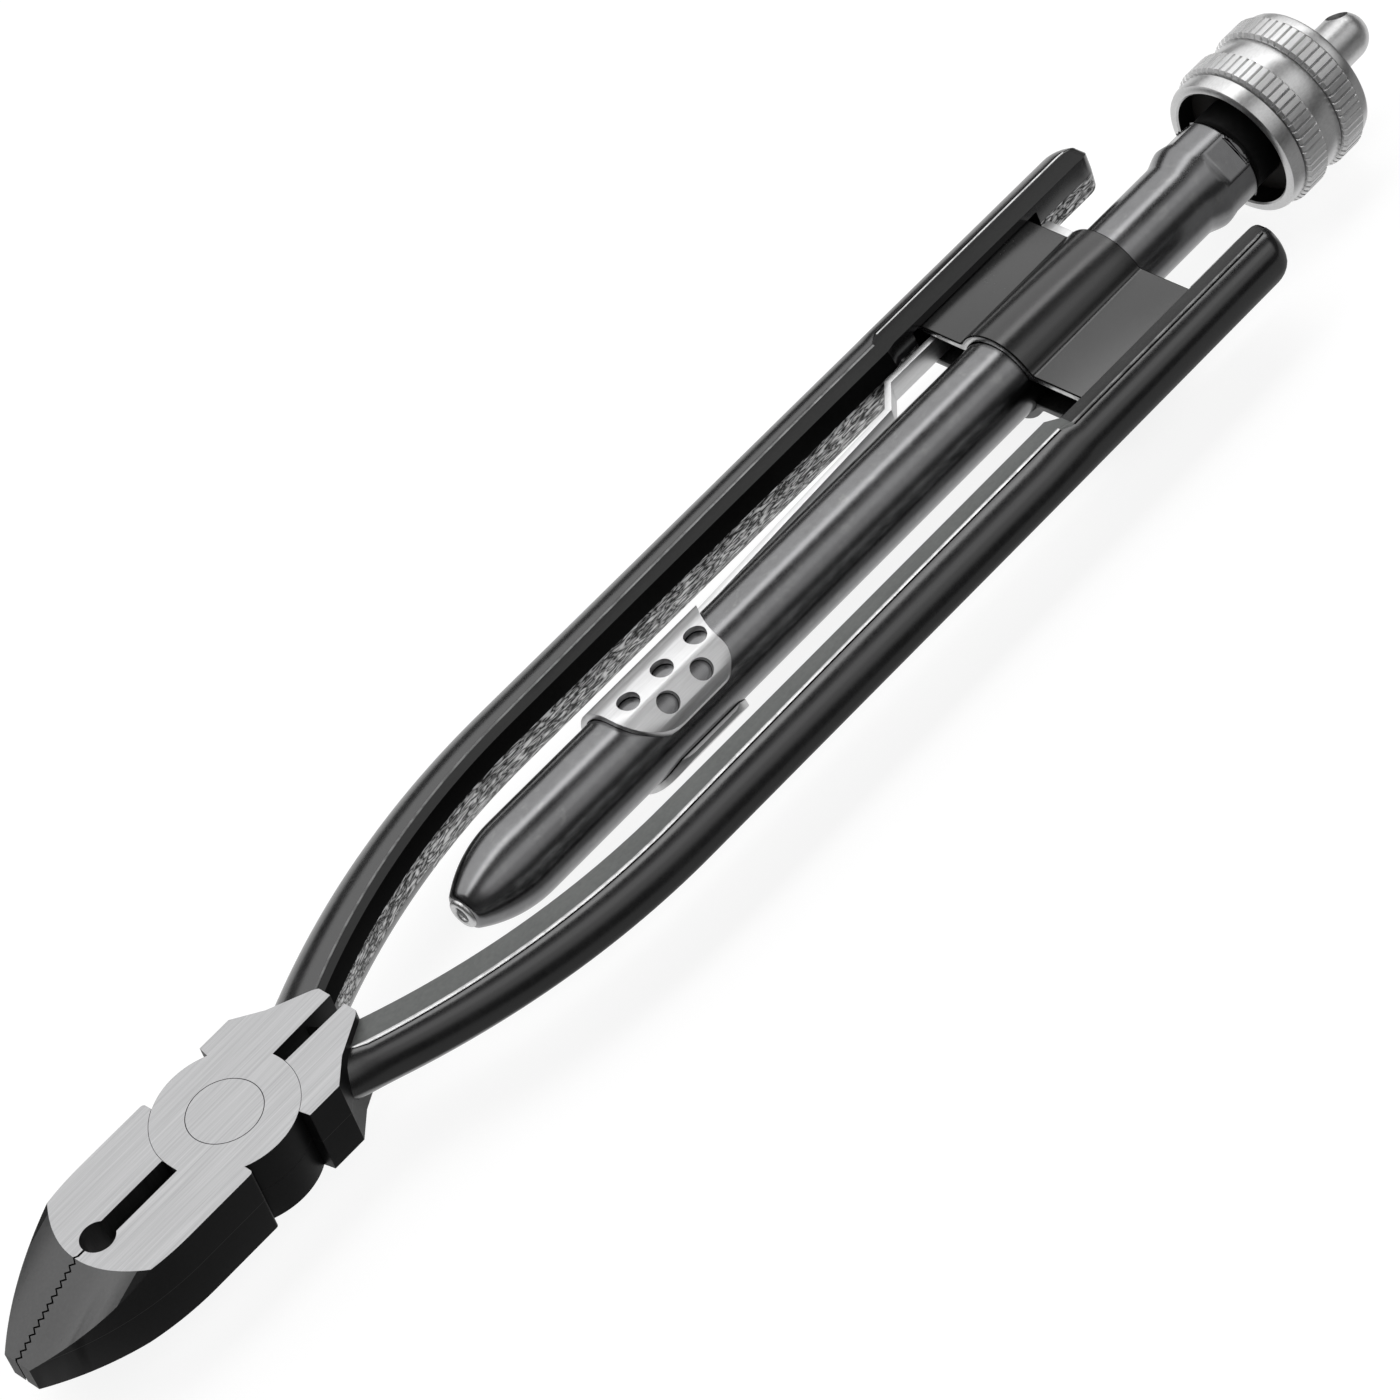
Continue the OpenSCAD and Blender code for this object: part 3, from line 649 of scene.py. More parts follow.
class Finishes:
    """The finishes of this tool."""

    GROUND = BrushedFinish("ground_face", (0.35, 0.35, 0.355), (0.50, 0.50, 0.505), 1.0, (0.34, 0.48),
                           pitch=(0.12, 14.0, 1.0), depth=0.02)
    FORGED = LinedFinish("forged_skin", grey(0.005), (0.011, 0.011, 0.0115), 0.0, (0.36, 0.48), 0.18,
                         pitch=(3.1, 3.1, 3.1), depth=0.03, line=grey(0.06), line_half=0.045)
    CUT = BrushedFinish("cut_wall", grey(0.016), grey(0.045), 0.3, (0.36, 0.50),
                        pitch=(3.0, 3.0, 0.3), streak=(1.2, 1.2, 0.1), relief=0.12, depth=0.02)
    NOSE = Finish("nose_satin", grey(0.028), (0.052, 0.052, 0.053), 0.0, (0.26, 0.34), 0.9,
                  pitch=(2.4, 2.4, 2.4), relief=0.08, depth=0.03)
    RUBBED = WornFinish("rubbed_edge", grey(0.012), grey(0.05), 0.35, (0.28, 0.42),
                        bare=grey(0.38), rub=0.50)
    GLOSS = LinedFinish("handle_gloss", (0.005, 0.005, 0.0055), (0.011, 0.011, 0.0115), 0.0, (0.19, 0.27), 1.0,
                        pitch=(1.5, 1.5, 1.5), relief=0.025, depth=0.03)
    FLAT_PALE = Finish("flat_grey", (0.105, 0.110, 0.107), (0.140, 0.146, 0.142), 0.0, (0.34, 0.42), 0.4,
                       pitch=(1.6, 2.6, 2.6), relief=0.05, depth=0.02)
    FLAT_DARK = Finish("flat_dark", grey(0.010), grey(0.016), 0.0, (0.40, 0.50), 0.22,
                       pitch=(1.6, 2.6, 2.6), relief=0.05, depth=0.02)
    FLAT_REAR = Finish("flat_rear", grey(0.026), grey(0.046), 0.0, (0.42, 0.52), 0.3,
                       pitch=(3.0, 4.0, 4.0), relief=0.12, depth=0.03)
    SHADE = Finish("edge_shade", grey(0.002), grey(0.005), 0.0, (0.55, 0.70), 0.05,
                   relief=0.05, depth=0.02)
    # Worn bare steel on the edge lines, painted bright as their highlight; the dim copy carries a weaker
    # painted highlight.
    EDGE = WornFinish("edge_bright", grey(0.34), grey(0.46), 1.0, (0.22, 0.34),
                      pitch=(0.7, 3.0, 3.0), bare=grey(0.56), rub=0.45)
    EDGE_FAINT = WornFinish("edge_faint", grey(0.10), grey(0.15), 1.0, (0.28, 0.40),
                            pitch=(0.7, 3.0, 3.0), bare=grey(0.20), rub=0.48)
    LAND = CrinkleFinish("trimmed_land", grey(0.02), grey(0.68), 0.9, (0.34, 0.50),
                         pitch=(0.55, 1.8, 2.3), relief=0.5, depth=0.25)
    BARREL = WornFinish("barrel_gloss", (0.185, 0.185, 0.188), (0.215, 0.215, 0.219), 1.0, (0.20, 0.26),
                        pitch=(0.8, 0.8, 0.8), relief=0.015, depth=0.03, bare=grey(0.23), rub=0.60)
    PLATE = Finish("plate_satin", grey(0.008), grey(0.015), 0.0, (0.20, 0.28), 0.80,
                   pitch=(2.8, 2.8, 2.8), relief=0.08, depth=0.03)
    BRIGHT = BrushedFinish("latch_bright", grey(0.58), (0.72, 0.72, 0.725), 1.0, (0.36, 0.46),
                           pitch=(0.30, 5.0, 5.0), streak=(0.04, 1.2, 1.2), relief=0.05, depth=0.01)
    ALLOY = Finish("knob_satin", grey(0.54), grey(0.68), 1.0, (0.28, 0.40),
                   pitch=(2.2, 4.0, 4.0), relief=0.06, depth=0.02)
    KNURL = Finish("knurl_satin", grey(0.60), grey(0.76), 1.0, (0.40, 0.50),
                   pitch=(0.8, 4.0, 4.0), depth=0.02)
    STUB = Finish("stub_satin", grey(0.50), grey(0.64), 1.0, (0.34, 0.44),
                  relief=0.06, depth=0.02)
    # Painted shade: near black where the knob's cup, and the barrel mouth inside it, lie in shadow.
    CUP = Finish("cup_dark", grey(0.004), grey(0.009), 0.0, (0.45, 0.60), 0.2,
                 pitch=(1.8, 1.8, 1.8), relief=0.06, depth=0.02)
    BAR = BrushedFinish("spindle_ground", (0.40, 0.40, 0.405), grey(0.60), 1.0, (0.22, 0.34),
                        pitch=(0.4, 5.0, 5.0), streak=(0.1, 1.6, 1.6), relief=0.06, depth=0.02)
    BRONZE = Finish("bush_bronze", (0.36, 0.24, 0.10), (0.50, 0.35, 0.16), 1.0, (0.28, 0.42),
                    pitch=(2.0, 3.0, 3.0), relief=0.06, depth=0.02)
    SPRING = Finish("spring_wire", (0.34, 0.34, 0.35), (0.52, 0.52, 0.53), 1.0, (0.24, 0.36),
                    pitch=(3.0, 3.0, 3.0), relief=0.05, depth=0.02)
    FIBRE = Finish("bumper_fibre", (0.010, 0.009, 0.008), (0.026, 0.022, 0.019), 0.0, (0.60, 0.80), 0.3,
                   pitch=(3.5, 3.5, 3.5), relief=0.25)


class HeadSlot(IntEnum):
    """Material slots of a head."""

    FORGED = 0
    GROUND = 1
    NOSE = 2
    RUBBED = 3
    CUT = 4


@dataclass
class Head:
    """Forged head of one lever: jaw, joint disc and shoulder."""

    side: Side
    phase: int
    jaw_y: float = 8.9
    reach: float = 34.5
    face: float = 23.1
    straight: float = 14.0
    side_r: float = 34.0
    notch: float = 4.2
    gap: float = 0.3
    tooth: float = 0.86
    tooth_depth: float = 0.55
    half_t: float = 4.7
    slope: float = 24.5
    crown_r: float = 25.0
    tip_rise: float = 0.8
    hole_x: float = 19.7
    hole_r: float = 2.1
    slot_half: float = 1.25
    bevel_half: float = 1.3
    disc_r: float = 8.6
    play: float = 0.06
    bore_r: float = 4.53
    crown_len: float = 69.0
    cutter_half: float = 0.1
    corner_rs: Pair = (0.45, 0.35)
    edge: float = 0.07
    shoulder_line: tuple[Pair, ...] = (
        (4.7, 8.9), (9.3, 8.9), (12.5, 6.15), (17.4, 3.45),
        (17.9, 2.95), (17.9, 1.15), (6.6, 0.95), (4.2, 6.02))

    def plan(self) -> list[Point]:
        """Returns the corners of the jaw, seen from above, with its gripping teeth."""
        centre = self.side_r - self.jaw_y
        outer = [(x, centre - math.sqrt(self.side_r ** 2 - (x + self.straight) ** 2))
                 for x in even(-self.straight, -self.reach, 24)]
        half = self.tooth / 2
        count = int((self.reach - self.face) / self.tooth)
        first = -self.face - count * self.tooth
        line = -self.gap / 2
        rise = self.tooth_depth / 2
        teeth = [(first + i * half, line + (-rise if (i + self.phase) % 2 else rise))
                 for i in range(2 * count + 1)]
        corners = [(-self.notch, -self.jaw_y), *outer, (-self.reach, line), *teeth,
                   (-self.face + half, line), (-self.notch, line)]
        return [(x, self.side.value * y, -self.half_t) for x, y in corners]

    def jaw(self) -> Piece:
        """Models the jaw: plan, crowned nose, rising underside, wire hole and cutter."""
        s = self.side.value
        thick = 2 * self.half_t
        jaw = Bench.prism(f"lever_{self.side.word}_head", self.plan(), (0, 0, thick), [(0, self.corner_rs[0])])
        lean = math.radians(self.slope)
        along = Vector((math.cos(lean), 0, math.sin(lean)))
        up = Vector((-math.sin(lean), 0, math.cos(lean)))
        axis = Vector((-self.face, 0, self.half_t)) - self.crown_r * up
        half = self.crown_len * along
        Bench.work(jaw, Bench.rod("crown", self.crown_r, axis - half, axis + half, 256), Join.COMMON)
        Bench.edit(jaw)
        rising = Vector((self.tip_rise, 0, self.reach - self.face)).normalized()
        bpy.ops.mesh.bisect(plane_co=(-self.face, 0, -self.half_t), plane_no=rising,
                            use_fill=True, clear_inner=True)
        bpy.ops.object.mode_set(mode="OBJECT")
        foot, top = (-self.hole_x, 0, -THROUGH), (-self.hole_x, 0, THROUGH)
        Bench.work(jaw, Bench.rod("wire_hole", self.hole_r, foot, top), Join.CUT)
        w, b, e, c = self.slot_half, self.bevel_half, self.gap / 2, self.cutter_half
        relief = [(w, thick), (-w, thick), (-w, b), (-e, c), (-e, -c), (-w, -b), (-w, -thick), (w, -thick)]
        cutter = Bench.prism("cutter", [(-self.hole_x, s * y, z) for y, z in relief],
                             (self.hole_x - self.disc_r, 0, 0))
        Bench.work(jaw, cutter, Join.CUT)
        return jaw

    def shoulder(self) -> Piece:
        """Models the shoulder behind the joint disc."""
        corners = [(x, self.side.value * y, -self.half_t) for x, y in self.shoulder_line]
        return Bench.prism("shoulder", corners, (0, 0, 2 * self.half_t), [(3, self.corner_rs[1])])

    def build(self) -> None:
        """Joins jaw, shoulder and disc, cuts the seat of the other disc and the bore, and dresses them."""
        s, r = self.side.value, self.disc_r
        head = self.jaw()
        Bench.work(head, self.shoulder(), Join.ADD)
        mid = s * self.play / 2
        Bench.work(head, Bench.rod("seat", r + self.play, (0, 0, mid), (0, 0, -THROUGH * s), 128), Join.CUT)
        Bench.work(head, Bench.rod("disc", r, (0, 0, mid), (0, 0, self.half_t * s), 128), Join.ADD)
        Bench.work(head, Bench.rod("bore", self.bore_r, (0, 0, -THROUGH), (0, 0, THROUGH), 96), Join.CUT)
        Bench.paint(head, [Finishes.FORGED, Finishes.GROUND, Finishes.NOSE, Finishes.RUBBED, Finishes.CUT],
                    self.slot_of)
        Bench.ease(head, self.edge, slot=HeadSlot.RUBBED)
        node = f"lever_{self.side.word}"
        Bench.ship(head, node, node, "forged_black", 15.0)

    def slot_of(self, at: Vector, normal: Vector) -> int:
        """Returns the slot of a head face: ground above and below, satin nose, cut walls, else forged."""
        if abs(normal.z) > 0.995 and abs(at.z) > self.half_t - 0.05:
            return HeadSlot.GROUND
        if normal.z > 0.6 and at.x < -self.face + 0.3:
            return HeadSlot.NOSE
        walls = abs(at.y) < self.hole_r + 0.2 and -self.hole_x - self.hole_r - 0.1 < at.x < -self.disc_r
        return HeadSlot.CUT if walls and abs(normal.z) < 0.99 else HeadSlot.FORGED


class HandleSlot(IntEnum):
    """Material slots of a handle."""

    GLOSS = 0
    LAND = 1
    FLAT = 2
    # LINE and REAR_LINE: worn edge lines with a painted highlight.
    LINE = 3
    REAR_FLAT = 4
    REAR_LINE = 5
    SHADE = 6


@dataclass
class Handle:
    """Handle of a lever: bow, straight part, thicker rear part and the slot for the saddle wings."""

    spine_y: float = 14.5
    bow_r: float = 97.0
    bow_x: float = 58.0
    bow_angle: float = 28.0
    half_t: float = 3.5
    crown: float = 4.45
    bulge: float = 4.58
    flat: float = 2.3
    land: float = 3.25
    land_half: float = 1.35
    grip_x: float = 124.5
    ramp: float = 1.2
    grip_y: float = 14.95
    grip_half: float = 4.0
    grip_crown: float = 3.95
    grip_ridge: float = 0.75
    grip_bulge: Pair = (5.8, 3.5)
    grip_land: float = 3.3
    grip_flats: Pair = (2.9, 1.0)
    reach: float = 162.2
    end_r: float = 3.0
    inner_r: float = 2.0
    lip: float = 0.05
    lip_widths: Pair = (0.12, 0.18)
    stations: int = 12
    lean_x: Pair = (15.5, 112.0)
    lean_upper: Pair = (-1.6, -0.4)
    lean_lower: Pair = (1.4, 0.0)
    lean_fade: float = 4.0
    lip_foot: Pair = (0.42, 0.16)
    lip_edge: Pair = (0.05, 0.08)
    shade_band: Pair = (0.11, 0.45)
    land_x: float = 19.0
    land_top: float = 2.2
    root_y: float = 1.2
    end_thin: float = 0.4
    wing_slot: tuple[Point, Point] = ((128.6, 0, -3.05), (151.4, 16.5, 3.05))

    def section(self, half: float, crown: float, land: float, flats: Pair, bulge: Pair,
                ridge: float = 0.0) -> list[Pair]:
        """Returns a section as pairs of outward distance from the spine and height.

        Args:
            half: Half of the thickness.
            crown: Rise of the outer side.
            land: Depth of the inner land.
            flats: Widths of the upper and the lower flat.
            bulge: Radii of the upper and the lower half of the outer side.
            ridge: Outward place of the lower edge line.

        Returns:
            Corners from the parting line over the top and back.
        """
        upper = self.flank((crown, half), 0.0, bulge[0], self.lip_widths[0])
        lower = self.flank((crown, half), ridge, bulge[1], self.lip_widths[1])
        return [*upper, (-flats[0], half), (-land, self.land_half),
                (-land, -self.land_half), (-flats[1], -half), *((u, -z) for u, z in reversed(lower[1:]))]

    def flank(self, size: Pair, ridge: float, bulge: float, width: float) -> list[Pair]:
        """Returns one half of the outer side, from the parting line to the raised edge line.

        Args:
            size: Rise of the outer side and half of the thickness.
            ridge: Outward place of the edge line.
            bulge: Radius of the side.
            width: Width of the edge line.

        Returns:
            Pairs of outward distance and height.
        """
        crown, half = size
        chord = Vector((ridge - crown, half))
        inward = Vector((-chord.y, chord.x)).normalized()
        centre = Vector((crown, 0)) + chord / 2 + inward * math.sqrt(bulge ** 2 - chord.length_squared / 4)
        low = math.asin(-centre.y / bulge)
        high, foot = (math.acos((ridge + off - centre.x) / bulge) for off in self.lip_foot)
        front, back = self.lip_edge
        return [*on_circle(tuple(centre), bulge, [*even(low, high, 14), foot]),
                (ridge + front, half + self.lip), (ridge - width, half + self.lip),
                (ridge - width - back, half)]

    def build(self) -> None:
        """Sweeps both handles from one model, cuts the wing slot and dresses them."""
        handle = self.sweep()
        right = Bench.twin(handle, "lever_right_handle")
        # Edge lines take a strong or a weak painted highlight depending on the side.
        left_coat = [Finishes.FLAT_DARK, Finishes.EDGE_FAINT, Finishes.FLAT_DARK, Finishes.EDGE]
        right_coat = [Finishes.FLAT_PALE, Finishes.EDGE, Finishes.FLAT_REAR, Finishes.EDGE_FAINT]
        for piece, side, coat in ((handle, Side.LEFT, left_coat), (right, Side.RIGHT, right_coat)):
            Bench.paint(piece, [Finishes.GLOSS, Finishes.LAND, *coat, Finishes.SHADE],
                        lambda at, normal, s=side.value: self.slot_of(at, normal, s))
            self.lean(piece, side.value)
            node = f"lever_{side.word}"
            Bench.ship(piece, node, node, "forged_black", 40.0)

    def lean(self, piece: Piece, side: int) -> None:
        """Lets the edge lines drift towards the head, the upper one inwards and the lower one outwards.

        Args:
            piece: Handle in millimetres.
            side: Sign of the side that it lies on.
        """
        front, back = self.lean_x
        for vertex in piece.data.vertices:
            at = vertex.co
            share = max(0.0, min((back - at.x) / (back - front), (at.x - front) / self.lean_fade + 1, 1.0))
            if share == 0.0 or abs(at.z) < 0.05:
                continue
            upper = side * at.z > 0
            drifts, power = (self.lean_upper, 1) if upper else (self.lean_lower, 2)
            ridge, corner = (drift * share ** power for drift in drifts)
            u = self.outward(at, side)
            if u > 0:
                move = ridge * (1 - u / self.crown)
            elif u > -self.flat:
                move = ridge + (corner - ridge) * -u / self.flat
            else:
                move = corner * (self.land + u) / (self.land - self.flat)
            spoke = Vector((min(at.x - self.bow_x, 0.0), at.y - side * (self.spine_y - self.bow_r), 0))
            vertex.co = at + spoke.normalized() * move

    def sweep(self) -> Piece:
        """Models the left handle: a drawn section spun along the bow and pushed along the straight part."""
        plain = self.section(self.half_t, self.crown, self.land, (self.flat, self.flat),
                             (self.bulge, self.bulge))
        grip = self.section(self.grip_half, self.grip_crown, self.grip_land, self.grip_flats, self.grip_bulge,
                            self.grip_ridge)
        obj = Bench.blank("lever_left_handle")
        Bench.chain([(self.bow_x, self.spine_y + u, z) for u, z in plain], filled=False)
        for _ in range(self.stations):
            Bench.push(((self.grip_x - self.bow_x) / self.stations, 0, 0))
        Bench.chain([(self.grip_x + self.ramp, self.grip_y + u, z) for u, z in grip], filled=False)
        Bench.pick(obj, lambda co: co.x > self.grip_x - 0.01)
        bpy.ops.mesh.bridge_edge_loops()
        rear = self.grip_x + self.ramp
        Bench.pick(obj, lambda co: co.x > rear - 0.01)
        Bench.push((self.reach - self.end_r - rear, 0, 0))
        self.cap()
        Bench.pick(obj, lambda co: abs(co.x - self.bow_x) < 0.01)
        bpy.ops.mesh.spin(steps=32, angle=-math.radians(self.bow_angle),
                          center=(self.bow_x, self.spine_y - self.bow_r, 0), axis=(0, 0, 1))
        bpy.ops.mesh.edge_face_add()
        bpy.ops.mesh.select_all(action="SELECT")
        bpy.ops.mesh.bisect(plane_co=(0, self.root_y, 0), plane_no=(0, 1, 0), use_fill=True, clear_inner=True)
        Bench.close()
        Bench.work(obj, Bench.block("wing_slot", *self.wing_slot), Join.CUT)
        return obj

    def cap(self) -> None:
        """Pushes the rear section on in short steps that round both corners of the end, and closes it."""
        width = self.grip_crown + self.grip_land
        base = self.grip_y - self.grip_land
        was_x, was_in, was_size = 0.0, 0.0, width
        for turn in map(math.radians, range(10, 91, 10)):
            x = self.end_r * math.sin(turn)
            outer = self.end_r * (1 - math.cos(turn))
            late = max(0.0, x - self.end_r + self.inner_r)
            inner = self.inner_r - math.sqrt(max(0.0, self.inner_r ** 2 - late ** 2))
            share = (width - outer - inner) / was_size
            Bench.push((x - was_x, 0, 0))
            bpy.ops.transform.resize(value=(1, share, 1 - self.end_thin * (1 - share)),
                                     center_override=(0, base + was_in, 0))
            bpy.ops.transform.translate(value=(0, inner - was_in, 0))
            was_x, was_in, was_size = x, inner, width - outer - inner
        bpy.ops.mesh.edge_face_add()

    def outward(self, at: Vector, side: int) -> float:
        """Returns how far a point lies outside the spine of the handle on a side."""
        y = side * at.y
        if at.x < self.bow_x:
            return math.hypot(at.x - self.bow_x, y - self.spine_y + self.bow_r) - self.bow_r
        return y - (self.spine_y if at.x < self.grip_x else self.grip_y)

    def slot_of(self, at: Vector, normal: Vector, side: int) -> int:
        """Returns the slot of a handle face: land, edge line of worn steel with its painted highlight, flat,
        painted shade beside the line and on the inner slope, or gloss.
        """
        rear, lower = at.x > self.grip_x, side * at.z < 0
        u = self.outward(at, side) - (self.grip_ridge if rear and lower else 0.0)
        top = self.grip_half if rear else self.half_t
        width = self.lip_widths[lower]
        if side * normal.y < -0.9 and side * at.z < self.land_top and at.x > self.land_x:
            return HandleSlot.LAND
        if not rear and not lower and u < -self.flat - 0.05:
            return HandleSlot.SHADE
        if rear and at.x < self.grip_x + self.ramp and u < 0 and abs(normal.z) > 0.5:
            return HandleSlot.FLAT
        if abs(at.z) > top - 0.14 and (rear or lower) and self.shade_band[0] < u < self.shade_band[1]:
            return HandleSlot.SHADE
        if abs(at.z) > top - 0.012 and -width - self.lip_edge[1] < u < 0.2 and not (rear and u < -width):
            return HandleSlot.REAR_LINE if rear else HandleSlot.LINE
        if abs(normal.z) > 0.9 and u < -0.1:
            return HandleSlot.REAR_FLAT if rear else HandleSlot.FLAT
        return HandleSlot.GLOSS


@dataclass
class Rivet:
    """Flush joint rivet."""

    radius: float = 4.5
    half_t: float = 4.7
    edge: float = 0.07

    def build(self) -> None:
        """Models the rivet with an eased rim and dresses it."""
        foot, top = (0, 0, -self.half_t), (0, 0, self.half_t)
        rivet = Bench.rod("pivot_rivet_pin", self.radius, foot, top, 128)
        Bench.paint(rivet, [Finishes.GROUND, Finishes.FORGED])
        Bench.ease(rivet, self.edge, slot=1)
        Bench.ship(rivet, "lever_left", "pivot_rivet", "bright_steel", 15.0)


@dataclass
class Barrel:
    """Barrel tube with its bullet nose, flared mouth, staked flats and bright nose eyelet."""

    radius: float = 5.25
    bore: float = 4.35
    nose_x: float = 36.5
    nose_len: float = 9.5
    nose_arc: float = 16.77
    tip_r: float = 2.3
    hole_r: float = 1.3
    flare: Pair = (162.8, 166.0)
    crimp: Pair = (170.2, 171.6)
    crimp_r: float = 5.45
    end: float = 175.5
    flare_r: float = 6.05
    stake_af: float = 11.1
    stake_slope: Pair = (165.3, 166.7)
    stake_rim: float = 0.4
    punch_top: float = 9.0
    punch_half: float = 6.0
    wall: float = 0.9
    mouth_step: Pair = (164.5, 167.2)
    tip_edge: Pair = (0.25, 0.2)
    shade_off: float = 0.6
    rim_r: float = 1.42
    roll: float = 0.42
    roll_swell: float = 1.25
    shank_len: float = 3.0
    shank_rs: Pair = (0.9, 1.27)

    def profile(self) -> list[Pair]:
        """Returns the turned profile of the tube as a ring."""
        base = self.nose_x + self.nose_len
        back, fall = self.tip_edge
        nose = [(x, self.radius - self.nose_arc + math.sqrt(self.nose_arc ** 2 - (base - x) ** 2))
                for x in even(self.nose_x + back, base, 18)]
        swells = ((self.flare, self.radius, self.flare_r), (self.crimp, self.flare_r, self.crimp_r))
        mouth = [(x0 + (x1 - x0) * t, r0 + (r1 - r0) * t * t * (3 - 2 * t))
                 for (x0, x1), r0, r1 in swells for t in even(0.0, 1.0, 12)]
        inner = self.flare_r - self.wall
        return [(self.nose_x, self.hole_r), (self.nose_x, self.tip_r - fall), *nose, *mouth,
                (self.end, self.crimp_r), (self.end, inner), (self.mouth_step[1], inner),
                (self.mouth_step[0], self.bore), (base, self.bore), (base, self.hole_r)]

    def build(self) -> None:
        """Spins the tube, stakes its flats, turns the eyelet and dresses both."""
        tube = Bench.lathe("barrel_tube_body", self.profile(), steps=128)
        low, top, past = self.stake_af / 2, self.punch_top, self.end + 1
        front, floor = self.stake_slope
        punch = [(floor, low), (past, low), (past, top), (front, top), (front, self.flare_r + 0.02)]
        turns = [math.radians(45 + 90 * quarter) for quarter in range(4)]
        for turn in turns:
            stake = Bench.prism("stake", [(x, -self.punch_half, z) for x, z in punch],
                                (0, 2 * self.punch_half, 0))
            stake.rotation_euler = (turn, 0, 0)
            Bench.work(tube, stake, Join.CUT)
        Bench.hold(tube)
        bpy.ops.object.mode_set(mode="EDIT")
        for turn in turns:
            out = Vector((0, -math.sin(turn), math.cos(turn)))
            Bench.pick(tube, lambda co: abs(co.dot(out) - low) < 0.002)
            bpy.ops.mesh.select_mode(type="FACE")
            bpy.ops.mesh.inset(thickness=self.stake_rim)
        bpy.ops.object.mode_set(mode="OBJECT")
        # The mouth behind the crimp, inside the knob's cup, takes the painted shade.
        shade_x = self.crimp[0] + self.shade_off
        Bench.paint(tube, [Finishes.BARREL, Finishes.CUP], lambda at, normal: int(at.x > shade_x))
        Bench.ship(tube, "barrel", "barrel_tube", "barrel_black", 40.0)
        eyelet = Bench.lathe("nose_eyelet_ring", self.rolled_rim(), steps=64)
        Bench.paint(eyelet, [Finishes.BRIGHT])
        Bench.ship(eyelet, "barrel", "nose_eyelet", "bright_steel", 50.0)

    def rolled_rim(self) -> list[Pair]:
        """Returns the eyelet profile: a rolled rim before the nose and a thin shank in its hole."""
        swell = self.roll * self.roll_swell
        rim = [(self.nose_x - 0.06 - self.roll * math.sin(a), self.rim_r + swell * math.cos(a))
               for a in map(math.radians, range(0, 181, 20))]
        front, rear = self.nose_x - 0.01, self.nose_x + self.shank_len
        inner, outer = self.shank_rs
        return [(front, self.rim_r + swell), *rim, (rear, inner), (rear, outer), (front, outer)]


class PlateSlot(IntEnum):
    """Material slots of the upper saddle plate."""

    FACE = 0
    # Eased edges, painted shade.
    EDGE = 1
    # Front face, painted bright as the highlight of the plate's front edge.
    FRONT = 2


@dataclass
class Saddle:
    """Two stamped plates that hold the barrel between the handles."""

    start: float = 130.0
    length: float = 20.0
    hump_r: float = 5.27
    plate: float = 0.95
    wing_top: float = 2.9
    reach: float = 16.2
    hump_steps: int = 32
    fold_r: float = 0.55
    edge: float = 0.14

    def outline(self) -> list[Pair]:
        """Returns the section of a plate: flat wings and a hump with filleted feet."""
        outer, under = self.hump_r + self.plate, self.wing_top - self.plate
        a_out = math.asin(self.wing_top / outer)
        a_in = math.asin(under / self.hump_r)
        over = on_circle((0, 0), outer, even(a_out, math.pi - a_out, self.hump_steps))
        below = on_circle((0, 0), self.hump_r, even(math.pi - a_in, a_in, self.hump_steps))
        return [(self.reach, under), (self.reach, self.wing_top), *over, (-self.reach, self.wing_top),
                (-self.reach, under), *below]

    def build(self) -> None:
        """Presses the upper plate, copies it for the lower one and dresses both."""
        points = [(self.start, y, z) for y, z in self.outline()]
        folds = [(2, self.fold_r), (2 + self.hump_steps, self.fold_r)]
        upper = Bench.prism("saddle_upper_plate", points, (self.length, 0, 0), folds)
        # The front face takes a painted highlight, and the eased edges take painted shade.
        Bench.paint(upper, [Finishes.PLATE, Finishes.SHADE, Finishes.EDGE],
                    lambda at, normal: PlateSlot.FRONT if normal.x < -0.9 else PlateSlot.FACE)
        Bench.ease(upper, self.edge, 2, 50.0, PlateSlot.EDGE)
        lower = Bench.twin(upper, "saddle_lower_plate")
        Bench.paint(lower, [Finishes.PLATE])
        Bench.ship(upper, "barrel", "saddle_upper", "plate_black", 40.0)
        Bench.ship(lower, "barrel", "saddle_lower", "plate_black", 40.0)


